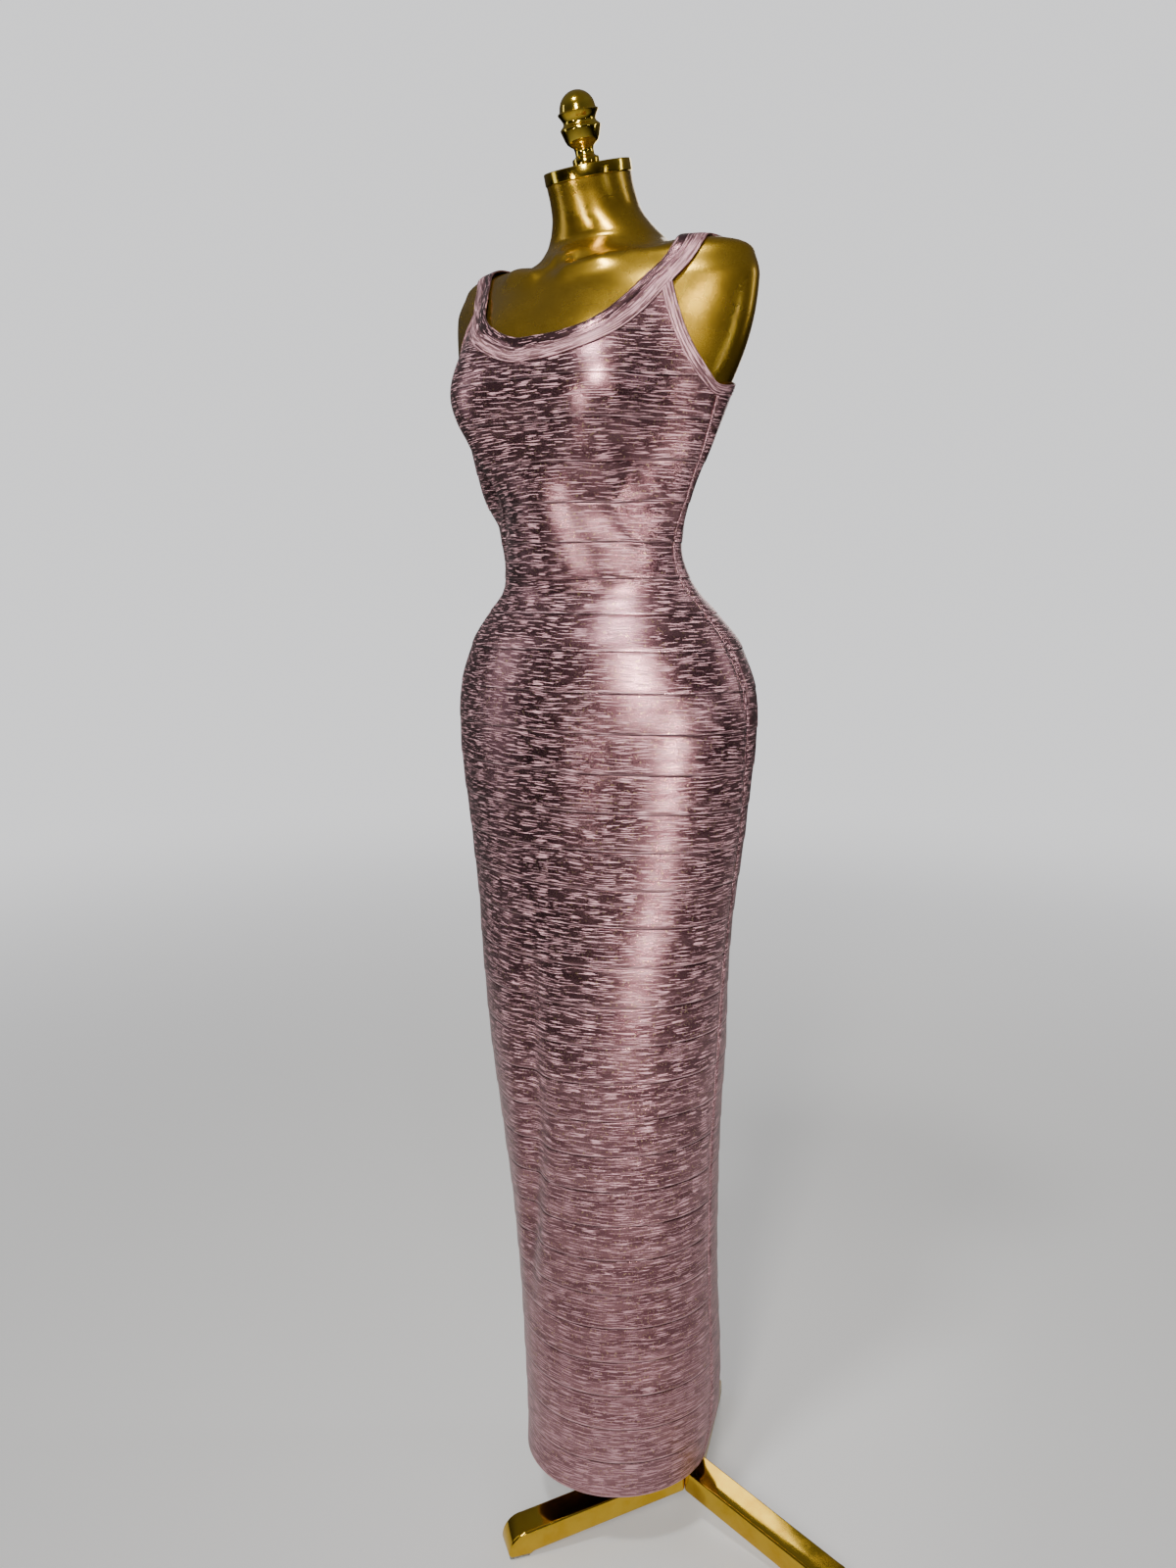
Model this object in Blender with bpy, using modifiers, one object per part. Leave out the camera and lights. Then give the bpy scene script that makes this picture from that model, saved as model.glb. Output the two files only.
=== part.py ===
"""Long bodycon dress on a limbless dress form with a neck cap, finial, pole and three-legged base.

Run with: blender --background --python part.py
Metres, +Z up. The form's front faces -Y and its left side is +X. The floor is z = 0, and the
origin is on the floor under the middle of the whole object's box.
Angles round the body are measured from the front, positive towards the form's left.
"""

import math

import bmesh
import bpy
from mathutils import Matrix, Vector

# Cloth: wall, and how far each strip's lower edge stands proud of the strip below it
WALL = 0.0015
STRIP_LIP = 0.0006
STRIP_EDGE = 0.0025
SEAM_GAP = 0.0003
EASE = 0.0008

# Joins between the strips: even ones up to the thighs, and closer ones from there to the chest
HEM_HEIGHT = 0.080
LOW_STRIPS = 16
HIGH_JOINS = (
    *(0.764, 0.804, 0.844, 0.884, 0.924, 0.9645, 1.004),
    *(1.0445, 1.080, 1.117, 1.153, 1.1915, 1.230, 1.268),
)
LEVEL_TOP = HIGH_JOINS[-1]
TOP_ROWS = 5

# Cut: the edges at the neck and arms, and the straps
UNDERARM_HEIGHT = 1.291
PEAK_HEIGHT = 1.386
FRONT_NECK_HEIGHT = 1.3236
BACK_NECK_HEIGHT = 1.345
LEFT_PEAK = math.radians(68.5)
RIGHT_PEAK = math.radians(59)
BACK_PEAK = math.radians(50)
LEFT_NECK_CURVE = 3.1
RIGHT_NECK_CURVE = 1.5
BACK_NECK_CURVE = 2.5
FRONT_ARMHOLE_CURVE = 0.68
BACK_ARMHOLE_CURVE = 0.58
NECK_BAND_WIDTH = 0.0225
ARM_BAND_WIDTH = 0.008
BAND_REST = 0.0015
BAND_GAP = 0.0005
STRAP_STEPS = 14

# Outer edge of each strap, from the front over the shoulder to the back: x, y and z
LEFT_STRAP = (
    (0.1415, -0.0275, 1.4125),
    (0.1450, 0.0060, 1.4455),
    (0.1290, 0.0560, 1.4280),
)
RIGHT_STRAP = (
    (-0.1149, -0.0440, 1.4012),
    (-0.1370, -0.0060, 1.4390),
    (-0.1290, 0.0560, 1.4280),
)

# The waist is between these heights, and its rows are closer together
WAIST_LOW = 1.02
WAIST_HIGH = 1.16

# The side seam is in front of the side at the waist and behind it at the knee
SEAM_ANGLE_HIGH = math.radians(87)
SEAM_ANGLE_LOW = math.radians(98)
SEAM_TURN_TOP = 1.15
SEAM_TURN_BOTTOM = 0.66

# Columns of the panels from the middle to a strap's peak, and from there to the side seam
FRONT_NECK_COLUMNS = 8
BACK_NECK_COLUMNS = 6
FRONT_ARM_COLUMNS = 5
BACK_ARM_COLUMNS = 5

# Collarbones: how far they stand out at the height of their inner ends, how much higher their
# outer ends are, and the hollows above them
COLLAR_DEPTH = 0.0045
COLLAR_HEIGHT = 1.414
COLLAR_RISE = 0.010
COLLAR_SPREAD = 0.009
HOLLOW_DEPTH = 0.0085
HOLLOW_ABOVE = 0.019
HOLLOW_SPREAD = 0.0085

# Form
FORM_BASE_HEIGHT = 0.765
CHEST_STEP = 0.0145
CHEST_STEPS = 9
SHOULDER_HEIGHTS = (1.412, 1.424, 1.433, 1.439, 1.444, 1.448, 1.454, 1.463, 1.474, 1.490)
FORM_EASE = 0.0016
FORM_EASE_RISE = 0.052
FORM_EASE_FADE = 0.060
NECK_TOP_HEIGHT = 1.5155
NECK_LEAN = math.radians(17)
LEAN_START = 1.462
CHEST_CORE = Vector((0.0, 0.012, 1.30))
CAP_RADIUS = 0.0447
CAP_THICKNESS = 0.012
CAP_SEGMENTS = 44
PLACE_GAP = 0.0003

# Stand
POLE_RADIUS = 0.0125
POLE_SEGMENTS = 20
POLE_CENTRE = Vector((0.084, 0.087, 0.0))
LEG_ANGLES = (-34.4, 85.6, 205.6)
LEG_REACH = 0.226
LEG_WIDTH = 0.036
LEG_DEPTH = 0.028
LEG_TOP = 0.070
LEG_TIP_TOP = 0.034
LEG_TIP_CURVE = 0.024
LEG_TIP_STEPS = 6
LEG_TIP_FLAT = 0.004
LEG_TOE = 0.006
PAD_INSET = 0.002
PAD_LENGTH = 0.024
PAD_WIDTH = 0.029
PAD_THICKNESS = 0.004

# From the body's axis to the middle of the object's box
BOX_MIDDLE = Vector((0.0642, 0.0902, 0.0))

# Horizontal sections of the body: half_width at the sides, depth to the front and to the back,
# how far the middle is behind the axis, how far the cloth and the form stand out at the sides,
# how many degrees behind SIDE_ANGLE that is, and how far both stand out at the bust.
SECTIONS = (
    # height half_width front  back  centre_y cloth_side form_side side_turn bust
    (0.000, 0.1040, 0.1040, 0.1040, 0.0560, 0.000, 0.000, 0, 0.000),
    (0.080, 0.1075, 0.1130, 0.1030, 0.0635, 0.000, 0.000, 0, 0.000),
    (0.125, 0.1130, 0.1185, 0.1150, 0.0715, 0.000, 0.000, 0, 0.000),
    (0.200, 0.1145, 0.1190, 0.1190, 0.0690, 0.000, 0.000, 0, 0.000),
    (0.300, 0.1155, 0.1160, 0.1160, 0.0606, 0.000, 0.000, 0, 0.000),
    (0.400, 0.1185, 0.1185, 0.1185, 0.0530, 0.000, 0.000, 0, 0.000),
    (0.500, 0.1245, 0.1238, 0.1238, 0.0447, 0.000, 0.000, 0, 0.000),
    (0.600, 0.1340, 0.1289, 0.1289, 0.0380, 0.000, 0.000, 0, 0.000),
    (0.700, 0.1450, 0.1203, 0.1203, 0.0291, 0.000, 0.000, 0, 0.000),
    (0.765, 0.1530, 0.1148, 0.1148, 0.0280, 0.000, 0.000, 0, 0.000),
    (0.850, 0.1660, 0.1162, 0.1162, 0.0276, 0.000, 0.000, 0, 0.000),
    (0.900, 0.1730, 0.1174, 0.1174, 0.0255, 0.000, 0.000, 0, 0.000),
    (0.950, 0.1780, 0.1198, 0.1198, 0.0262, 0.000, 0.000, 0, 0.000),
    (1.000, 0.1760, 0.1198, 0.1198, 0.0272, 0.000, 0.000, 0, 0.000),
    (1.050, 0.1570, 0.1100, 0.1100, 0.0262, 0.000, 0.000, 0, 0.000),
    (1.075, 0.1400, 0.0900, 0.0900, 0.0220, 0.001, 0.000, 0, 0.000),
    (1.100, 0.1150, 0.0740, 0.0800, 0.0175, 0.004, 0.000, -1, 0.000),
    (1.125, 0.1005, 0.0740, 0.0770, 0.0100, 0.009, 0.002, -2, 0.000),
    (1.150, 0.0930, 0.0770, 0.0780, 0.0055, 0.017, 0.006, -3, 0.000),
    (1.200, 0.0880, 0.0830, 0.0780, -0.002, 0.042, 0.016, -4, 0.000),
    (1.250, 0.1090, 0.0970, 0.0900, 0.0000, 0.041, 0.030, -2, 0.018),
    (1.300, 0.1340, 0.1130, 0.1000, 0.0000, 0.034, 0.034, 0, 0.018),
    (1.350, 0.1400, 0.1060, 0.1000, 0.0020, 0.045, 0.045, 3, 0.007),
    (1.400, 0.1380, 0.0800, 0.0960, 0.0060, 0.0535, 0.0535, 3, 0.000),
    (1.420, 0.1320, 0.0700, 0.0890, 0.0100, 0.0535, 0.0535, 3, 0.000),
    (1.434, 0.1220, 0.0640, 0.0810, 0.0140, 0.0530, 0.0530, 2, 0.000),
    (1.442, 0.1060, 0.0600, 0.0710, 0.0210, 0.040, 0.040, 0, 0.000),
    (1.447, 0.0880, 0.0610, 0.0620, 0.0310, 0.010, 0.010, 0, 0.000),
    (1.455, 0.0730, 0.0595, 0.0580, 0.0360, 0.000, 0.000, 0, 0.000),
    (1.463, 0.0640, 0.0570, 0.0560, 0.0330, 0.000, 0.000, 0, 0.000),
    (1.473, 0.0540, 0.0532, 0.0530, 0.0240, 0.000, 0.000, 0, 0.000),
    (1.484, 0.0475, 0.0465, 0.0470, 0.0156, 0.000, 0.000, 0, 0.000),
    (1.500, 0.0440, 0.0437, 0.0437, 0.0080, 0.000, 0.000, 0, 0.000),
    (1.512, 0.0430, 0.0430, 0.0430, 0.0030, 0.000, 0.000, 0, 0.000),
    (1.530, 0.0430, 0.0430, 0.0430, -0.002, 0.000, 0.000, 0, 0.000),
    (1.550, 0.0430, 0.0430, 0.0430, -0.008, 0.000, 0.000, 0, 0.000),
)
HEIGHT, HALF_WIDTH, FRONT, BACK, CENTRE_Y, CLOTH_SIDE, FORM_SIDE, SIDE_TURN, BUST = range(9)
SIDE_ANGLE = math.radians(91)
SIDE_SPREAD = math.radians(17)
BUST_ANGLE = math.radians(42)
BUST_SPREAD = math.radians(22)

# Finial, turned: distance from its axis and height above the cap, from the dome's foot down
FINIAL_HEIGHT = 0.069
FINIAL_DOME = 0.0182
DOME_STEPS = 6
TURNED_STEPS = 24
FINIAL_PROFILE = (
    # radius height
    (0.0205, 0.0498),
    (0.0205, 0.0482),
    (0.0168, 0.0420),
    (0.0168, 0.0390),
    (0.0203, 0.0358),
    (0.0203, 0.0338),
    (0.0178, 0.0252),
    (0.0150, 0.0204),
    (0.0100, 0.0170),
    (0.0097, 0.0094),
    (0.0137, 0.0074),
    (0.0137, 0.0000),
)

CAP_BEVEL = 0.0012
LEG_BEVEL = 0.0025
SHARP_ANGLE = math.radians(40)
BEVEL_ANGLE = math.radians(50)

# Finishes: colour, roughness and metallic
FINISHES = {
    "foil_knit": ((0.36, 0.19, 0.22), 0.38, 0.55),
    "gold_lacquer": ((0.50, 0.33, 0.07), 0.28, 0.80),
    "polished_gold": ((0.83, 0.62, 0.20), 0.08, 1.00),
    "dark_steel": ((0.25, 0.24, 0.23), 0.40, 0.90),
    "clear_pad": ((0.75, 0.76, 0.74), 0.30, 0.00),
}


def section_at(height):
    """Every column of the table at this height, by a smooth curve through its rows."""
    i = 1
    while i < len(SECTIONS) - 3 and SECTIONS[i + 1][HEIGHT] < height:
        i += 1
    before, low, high, after = SECTIONS[i - 1 : i + 3]
    step = high[HEIGHT] - low[HEIGHT]
    t = (height - low[HEIGHT]) / step
    values = []
    for column in range(len(low)):
        slope_low = (high[column] - before[column]) / (high[HEIGHT] - before[HEIGHT])
        slope_high = (after[column] - low[column]) / (after[HEIGHT] - low[HEIGHT])
        values.append(
            low[column] * (1 + 2 * t) * (1 - t) ** 2
            + high[column] * t * t * (3 - 2 * t)
            + step * slope_low * t * (1 - t) ** 2
            + step * slope_high * t * t * (t - 1)
        )
    return values


def bulge(angle, centre, spread):
    return math.exp(-(((abs(angle) - centre) / spread) ** 2))


def radius_at(angle, height, side):
    """From the section's middle to the surface of the cloth or of the form."""
    angle = math.remainder(angle, math.tau)
    row = section_at(height)
    depth = row[FRONT] if abs(angle) < math.pi / 2 else row[BACK]
    ellipse = 1 / math.hypot(math.sin(angle) / row[HALF_WIDTH], math.cos(angle) / depth)
    side_angle = SIDE_ANGLE + math.radians(row[SIDE_TURN])
    at_side = row[side] * bulge(angle, side_angle, SIDE_SPREAD)
    return ellipse + at_side + row[BUST] * bulge(angle, BUST_ANGLE, BUST_SPREAD)


def surface_point(angle, height, side, out=0.0):
    """A point of that surface, moved out along its normal."""

    def plain(a, z):
        r = radius_at(a, z, side)
        return Vector((r * math.sin(a), section_at(z)[CENTRE_Y] - r * math.cos(a), z))

    point = plain(angle, height)
    if not out:
        return point
    along = plain(angle + 0.015, height) - plain(angle - 0.015, height)
    up = plain(angle, height + 0.002) - plain(angle, height - 0.002)
    return point + along.cross(up).normalized() * out


def ease_in(value, low, high):
    """0 below low, 1 above high, smooth between."""
    t = min(max((value - low) / (high - low), 0.0), 1.0)
    return t * t * (3 - 2 * t)


def collar_relief(angle, height):
    """How far the form stands out at the collarbones, and how far in at the hollows."""
    turn = abs(math.degrees(math.remainder(angle, math.tau)))
    ridge = COLLAR_HEIGHT + COLLAR_RISE * ease_in(turn, 8, 60)
    bone = COLLAR_DEPTH * (1 - ease_in(turn, 40, 58)) * bulge(height, ridge, COLLAR_SPREAD)
    above = ridge + HOLLOW_ABOVE
    hollow = HOLLOW_DEPTH * (1 - ease_in(turn, 62, 82)) * bulge(height, above, HOLLOW_SPREAD)
    return ease_in(turn, 4, 18) * (bone - hollow)


def cloth_point(angle, height, out=0.0):
    """A point of the cloth's inside, or this far outside it."""
    return surface_point(angle, height, CLOTH_SIDE, EASE + out)


def onto_cloth(point, out=0.0):
    """Where the line from the middle of the chest through this point meets the cloth's inside."""
    ray = (point - CHEST_CORE).normalized()
    near, far = 0.03, 0.30
    for _ in range(40):
        reach = (near + far) / 2
        at = CHEST_CORE + ray * reach
        flat = Vector((at.x, at.y - section_at(at.z)[CENTRE_Y]))
        angle = math.atan2(flat.x, -flat.y)
        inside = at.z < NECK_TOP_HEIGHT and flat.length < radius_at(angle, at.z, CLOTH_SIDE)
        near, far = (reach, far) if inside else (near, reach)
    return CHEST_CORE + ray * (near + EASE + out)


def seam_angle(height):
    turn = (SEAM_TURN_TOP - height) / (SEAM_TURN_TOP - SEAM_TURN_BOTTOM)
    turn = min(max(turn, 0.0), 1.0)
    return SEAM_ANGLE_HIGH + (SEAM_ANGLE_LOW - SEAM_ANGLE_HIGH) * turn * turn * (3 - 2 * turn)


class Panel:
    """Front or back of the dress. Its columns are shares, -1 and 1 at the side seams."""

    def __init__(self, middle, neck_height, neck_columns, arm_columns):
        self.middle = middle
        self.neck_height = neck_height
        self.neck_columns = neck_columns
        self.arm_columns = arm_columns
        half_angle = self.half_angle(UNDERARM_HEIGHT)
        peaks = (RIGHT_PEAK, LEFT_PEAK) if middle == 0 else (BACK_PEAK, BACK_PEAK)
        self.low_peak, self.high_peak = (peak / half_angle for peak in peaks)

    def half_angle(self, height):
        return seam_angle(height) if self.middle == 0 else math.pi - seam_angle(height)

    def columns(self):
        """Shares of the columns, close together where the armhole is steep."""
        shares = []
        for i in range(-self.neck_columns, self.neck_columns + 1):
            peak = self.high_peak if i > 0 else self.low_peak
            shares.append(i / self.neck_columns * peak)
        for i in range(1, self.arm_columns + 1):
            along = (i / self.arm_columns) ** 2
            shares.append(self.high_peak + (1 - self.high_peak) * along)
            shares.insert(0, -self.low_peak - (1 - self.low_peak) * along)
        return shares

    def top(self, share):
        """Height of the edge: the neck's scoop between the peaks, an armhole outside them."""
        front_curve = LEFT_NECK_CURVE if share > 0 else RIGHT_NECK_CURVE
        peak = self.high_peak if share > 0 else self.low_peak
        if abs(share) <= peak + 1e-9:
            curve = front_curve if self.middle == 0 else BACK_NECK_CURVE
            rise = (PEAK_HEIGHT - self.neck_height) * (abs(share) / peak) ** curve
            return self.neck_height + rise
        along = (abs(share) - peak) / (1 - peak)
        curve = FRONT_ARMHOLE_CURVE if self.middle == 0 else BACK_ARMHOLE_CURVE
        left_over = max(1 - along**curve, 0.0) ** (1 / curve)
        return UNDERARM_HEIGHT + (PEAK_HEIGHT - UNDERARM_HEIGHT) * left_over

    def point(self, share, height, out=0.0):
        """A point of this column, with half the gap left at a side seam."""
        radius = section_at(height)[HALF_WIDTH]
        half = self.half_angle(height) - SEAM_GAP / 2 / radius
        return cloth_point(self.middle + share * half, height, out)

    def edge_pair(self, share):
        """Inner and outer corner of the panel's edge at this column."""
        return tuple(self.point(share, self.top(share), out) for out in (0.0, WALL))


FRONT_PANEL = Panel(0.0, FRONT_NECK_HEIGHT, FRONT_NECK_COLUMNS, FRONT_ARM_COLUMNS)
BACK_PANEL = Panel(math.pi, BACK_NECK_HEIGHT, BACK_NECK_COLUMNS, BACK_ARM_COLUMNS)


def level_joins():
    """Heights of the joins between strips, from the hem up to LEVEL_TOP."""
    pitch = (HIGH_JOINS[0] - HEM_HEIGHT) / LOW_STRIPS
    return [HEM_HEIGHT + pitch * i for i in range(LOW_STRIPS)] + list(HIGH_JOINS)


def finish_mesh(bm, name):
    bmesh.ops.recalc_face_normals(bm, faces=bm.faces)
    if bm.calc_volume(signed=True) < 0:
        bmesh.ops.reverse_faces(bm, faces=bm.faces)
    mesh = bpy.data.meshes.new(name)
    bm.to_mesh(mesh)
    bm.free()
    return mesh


def panel_mesh(name, panel):
    """A wall with a plain inside, whose strips stand proud at their lower edges outside."""
    bm = bmesh.new()
    shares = panel.columns()
    joins = level_joins()
    above = [len(joins) + i for i in range(TOP_ROWS)]
    middles = [j + 0.5 for j in range(len(joins) - 1) if WAIST_LOW < joins[j] < WAIST_HIGH]
    levels = sorted([*range(len(joins)), *above, *middles])

    def height_of(level, share):
        """Level up to LEVEL_TOP; above it the joins share out what is left of each column."""
        if level < len(joins):
            low, high = joins[int(level)], joins[math.ceil(level)]
            return (low + high) / 2 if level % 1 else low
        part = (level - len(joins) + 1) / TOP_ROWS
        return LEVEL_TOP + (panel.top(share) - LEVEL_TOP) * part

    def row(level, drop=0.0, out=0.0):
        return [bm.verts.new(panel.point(s, height_of(level, s) - drop, out)) for s in shares]

    def join_rows(low, high):
        for k in range(len(shares) - 1):
            bm.faces.new((low[k], low[k + 1], high[k + 1], high[k]))

    inner, outer = [], []
    for level in levels:
        inner.append(row(level))
        if level == levels[0]:
            outer.append([row(level, 0.0, WALL + STRIP_LIP)])
        elif level == levels[-1]:
            outer.append([row(level, 0.0, WALL)])
        elif level % 1:
            outer.append([row(level, 0.0, WALL + STRIP_LIP / 2)])
        else:
            outer.append([row(level, STRIP_EDGE, WALL), row(level, 0.0, WALL + STRIP_LIP)])
    outside = [line for group in outer for line in group]
    for rows in (inner, outside, (inner[0], outside[0]), (inner[-1], outside[-1])):
        for low, high in zip(rows, rows[1:]):
            join_rows(low, high)
    for k in (0, -1):
        for j, group in enumerate(outer):
            if len(group) > 1:
                bm.faces.new((inner[j][k], group[0][k], group[1][k]))
            if j:
                below = outer[j - 1][-1][k]
                bm.faces.new((inner[j - 1][k], below, group[0][k], inner[j][k]))
    return finish_mesh(bm, name)


def across_band(edge, i, closed):
    """Direction on the body square to the edge at this point, away from the panel."""
    last = len(edge) - 1
    ahead = edge[(i + 1) % len(edge)][0] if closed or i < last else edge[i][0]
    behind = edge[i - 1][0] if closed or i > 0 else edge[i][0]
    outward = (edge[i][0] - CHEST_CORE).normalized()
    return outward.cross(ahead - behind).normalized()


def band_mesh(name, edge, across, closed):
    """A flat band beside this edge, as far as across reaches, thickest along its middle."""
    bm = bmesh.new()
    sections = []
    for (inner, outer), reach in zip(edge, across):
        gap = reach.normalized() * BAND_GAP
        middle, far = inner + reach / 2, inner + reach
        spots = [inner + gap, onto_cloth(middle, BAND_REST), onto_cloth(far, BAND_REST)]
        spots.append(onto_cloth(far, BAND_REST + WALL))
        spots.append(onto_cloth(middle, BAND_REST + WALL + STRIP_LIP))
        spots.append(outer + gap)
        sections.append([bm.verts.new(spot) for spot in spots])
    pairs = list(zip(sections, sections[1:]))
    if closed:
        pairs.append((sections[-1], sections[0]))
    for one, two in pairs:
        for k in range(6):
            bm.faces.new((one[k], one[(k + 1) % 6], two[(k + 1) % 6], two[k]))
    if not closed:
        for end in (sections[0], sections[-1]):
            bm.faces.new((end[0], end[1], end[4], end[5]))
            bm.faces.new((end[1], end[2], end[3], end[4]))
    return finish_mesh(bm, name)


def strap_edge(front, strap, back):
    """Outer edge of a strap between its two peaks: a smooth curve through the strap's points."""
    points = [front[0], *(Vector(point) for point in strap), back[0]]
    points = [points[0] * 2 - points[1], *points, points[-1] * 2 - points[-2]]
    edge = []
    spans = len(points) - 3
    for i in range(1, STRAP_STEPS):
        span, t = divmod(spans * i / STRAP_STEPS, 1)
        before, low, high, after = points[int(span) : int(span) + 4]
        curve = low * 2 + (high - before) * t
        curve += (before * 2 - low * 5 + high * 4 - after) * t**2
        curve += (low * 3 - before - high * 3 + after) * t**3
        edge.append(tuple(onto_cloth(curve / 2, out) for out in (BAND_REST, BAND_REST + WALL)))
    return edge


def neck_edges():
    """Outer edge of the neck band in four parts: front, left strap, back and right strap."""
    scoops = []
    for panel in (FRONT_PANEL, BACK_PANEL):
        shares = panel.columns()[panel.arm_columns : -panel.arm_columns]
        scoops.append([panel.edge_pair(share) for share in shares])
    front, back = scoops
    left = strap_edge(front[-1], LEFT_STRAP, back[0])
    right = strap_edge(front[0], RIGHT_STRAP, back[-1])
    return front, left, back, right[::-1]


def neck_band_mesh(name):
    edge = [pair for part in neck_edges() for pair in part]
    across = [across_band(edge, i, True) * NECK_BAND_WIDTH for i in range(len(edge))]
    return band_mesh(name, edge, across, True)


def armhole_band_mesh(name, left):
    """The binding round one armhole. Both its ends are cut along the strap's outer edge."""
    front, back = FRONT_PANEL.columns(), BACK_PANEL.columns()
    if left:
        front = front[-FRONT_ARM_COLUMNS - 1 :]
        back = back[1 : BACK_ARM_COLUMNS + 1]
        strap = neck_edges()[1]
    else:
        front = front[FRONT_ARM_COLUMNS::-1]
        back = back[-2 : -BACK_ARM_COLUMNS - 2 : -1]
        strap = neck_edges()[3][::-1]
    edge = [FRONT_PANEL.edge_pair(share) for share in front]
    edge += [BACK_PANEL.edge_pair(share) for share in back]
    width = ARM_BAND_WIDTH if left else -ARM_BAND_WIDTH
    across = [across_band(edge, i, False) * width for i in range(len(edge))]
    for i, pair in ((0, strap[0]), (-1, strap[-1])):
        along = (pair[0] - edge[i][0]).normalized()
        square = along.dot(across[i].normalized())
        across[i] = along * ARM_BAND_WIDTH / max(square, 0.5)
    return band_mesh(name, edge, across, False)


def form_mesh(name):
    """The torso: one closed loft from its flat base to the tilted top of the neck."""
    joins = level_joins()
    middles = [(a + b) / 2 for a, b in zip(joins, joins[1:]) if WAIST_LOW < a < WAIST_HIGH]
    body = sorted(height for height in joins + middles if height > FORM_BASE_HEIGHT)
    chest = [LEVEL_TOP + CHEST_STEP * (i + 1) for i in range(CHEST_STEPS)]
    heights = [FORM_BASE_HEIGHT, *body, *chest, *SHOULDER_HEIGHTS, NECK_TOP_HEIGHT]
    bm = bmesh.new()
    rings = []
    for height in heights:
        front = [s * seam_angle(height) for s in FRONT_PANEL.columns()]
        rest = math.pi - seam_angle(height)
        back = [math.pi + s * rest for s in BACK_PANEL.columns()[1:-1]]
        lean = min(max((height - LEAN_START) / (NECK_TOP_HEIGHT - LEAN_START), 0.0), 1.0)
        above = max((height - UNDERARM_HEIGHT) / FORM_EASE_RISE + 1.0, 0.0)
        bared = min(above, 1.0, (NECK_TOP_HEIGHT - height) / FORM_EASE_FADE)
        ring = []
        for angle in front + back:
            out = collar_relief(angle, height) - FORM_EASE * bared
            point = surface_point(angle, height, FORM_SIDE, out)
            point.z += math.tan(NECK_LEAN) * lean * (point.y - section_at(height)[CENTRE_Y])
            ring.append(bm.verts.new(point))
        rings.append(ring)
    for low, high in zip(rings, rings[1:]):
        for i in range(len(low)):
            j = (i + 1) % len(low)
            bm.faces.new((low[i], low[j], high[j], high[i]))
    bm.faces.new(list(reversed(rings[0])))
    bm.faces.new(rings[-1])
    return finish_mesh(bm, name)


def neck_top_frame(rise):
    """Where things on the neck stand: its tilted top, this far along its axis."""
    foot = Vector((0.0, section_at(NECK_TOP_HEIGHT)[CENTRE_Y], NECK_TOP_HEIGHT))
    tilt = Matrix.Rotation(NECK_LEAN, 4, "X")
    return Matrix.Translation(foot) @ tilt @ Matrix.Translation((0.0, 0.0, rise))


def finial_object(name):
    """The turned finial: its profile runs down its outer side from the top of the dome."""
    centre = FINIAL_HEIGHT - FINIAL_DOME
    profile = [(0.0, FINIAL_HEIGHT)]
    for i in range(1, DOME_STEPS + 1):
        turn = math.pi / 2 * i / DOME_STEPS
        profile.append((FINIAL_DOME * math.sin(turn), centre + FINIAL_DOME * math.cos(turn)))
    profile += FINIAL_PROFILE
    profile.append((0.0, 0.0))
    mesh = bpy.data.meshes.new(name)
    points = [(radius, 0.0, height) for radius, height in profile]
    mesh.from_pydata(points, [(i, i + 1) for i in range(len(points) - 1)], [])
    obj = bpy.data.objects.new(name, mesh)
    screw = obj.modifiers.new("turn", "SCREW")
    screw.axis = "Z"
    screw.steps = TURNED_STEPS
    screw.render_steps = TURNED_STEPS
    screw.use_merge_vertices = True
    screw.merge_threshold = 0.0001
    screw.use_smooth_shade = True
    return obj


def leg_outline():
    """Side view of a leg as distance from the pole and height, from the top of the mitre on."""
    start = LEG_REACH - LEG_TIP_CURVE
    foot = PAD_THICKNESS + PLACE_GAP
    curve_height = LEG_TIP_TOP - foot - LEG_TIP_FLAT
    outline = [(0.0, LEG_TOP)]
    for i in range(LEG_TIP_STEPS + 1):
        turn = math.pi / 2 * i / LEG_TIP_STEPS
        height = LEG_TIP_TOP - curve_height * (1 - math.cos(turn))
        outline.append((start + LEG_TIP_CURVE * math.sin(turn), height))
    outline.append((LEG_REACH - PAD_INSET, foot))
    outline.append((LEG_REACH - PAD_INSET - PAD_LENGTH, foot))
    slope = (LEG_TOP - LEG_TIP_TOP) / start
    inner = LEG_REACH - PAD_LENGTH - LEG_TOE
    outline.append((inner, LEG_TOP - slope * inner - LEG_DEPTH))
    outline.append((0.0, LEG_TOP - LEG_DEPTH))
    return outline


def leg_mesh(name):
    """A straight bar along +X from the pole's axis, mitred there to meet its neighbours."""
    bm = bmesh.new()
    half = LEG_WIDTH / 2
    verts = [bm.verts.new((x, -half, z)) for x, z in leg_outline()]
    side = bm.faces.new(verts)
    moved = bmesh.ops.extrude_face_region(bm, geom=[side])["geom"]
    top = [v for v in moved if isinstance(v, bmesh.types.BMVert)]
    bmesh.ops.translate(bm, verts=top, vec=(0.0, LEG_WIDTH, 0.0))
    for turn in (1, -1):
        normal = Matrix.Rotation(math.radians(60) * turn, 3, "Z") @ Vector((0.0, turn, 0.0))
        cut = bmesh.ops.bisect_plane(
            bm,
            geom=bm.verts[:] + bm.edges[:] + bm.faces[:],
            plane_co=-normal * PLACE_GAP / 2,
            plane_no=normal,
            clear_outer=True,
        )
        edges = [e for e in cut["geom_cut"] if isinstance(e, bmesh.types.BMEdge)]
        bmesh.ops.holes_fill(bm, edges=edges, sides=0)
    return finish_mesh(bm, name)


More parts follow.
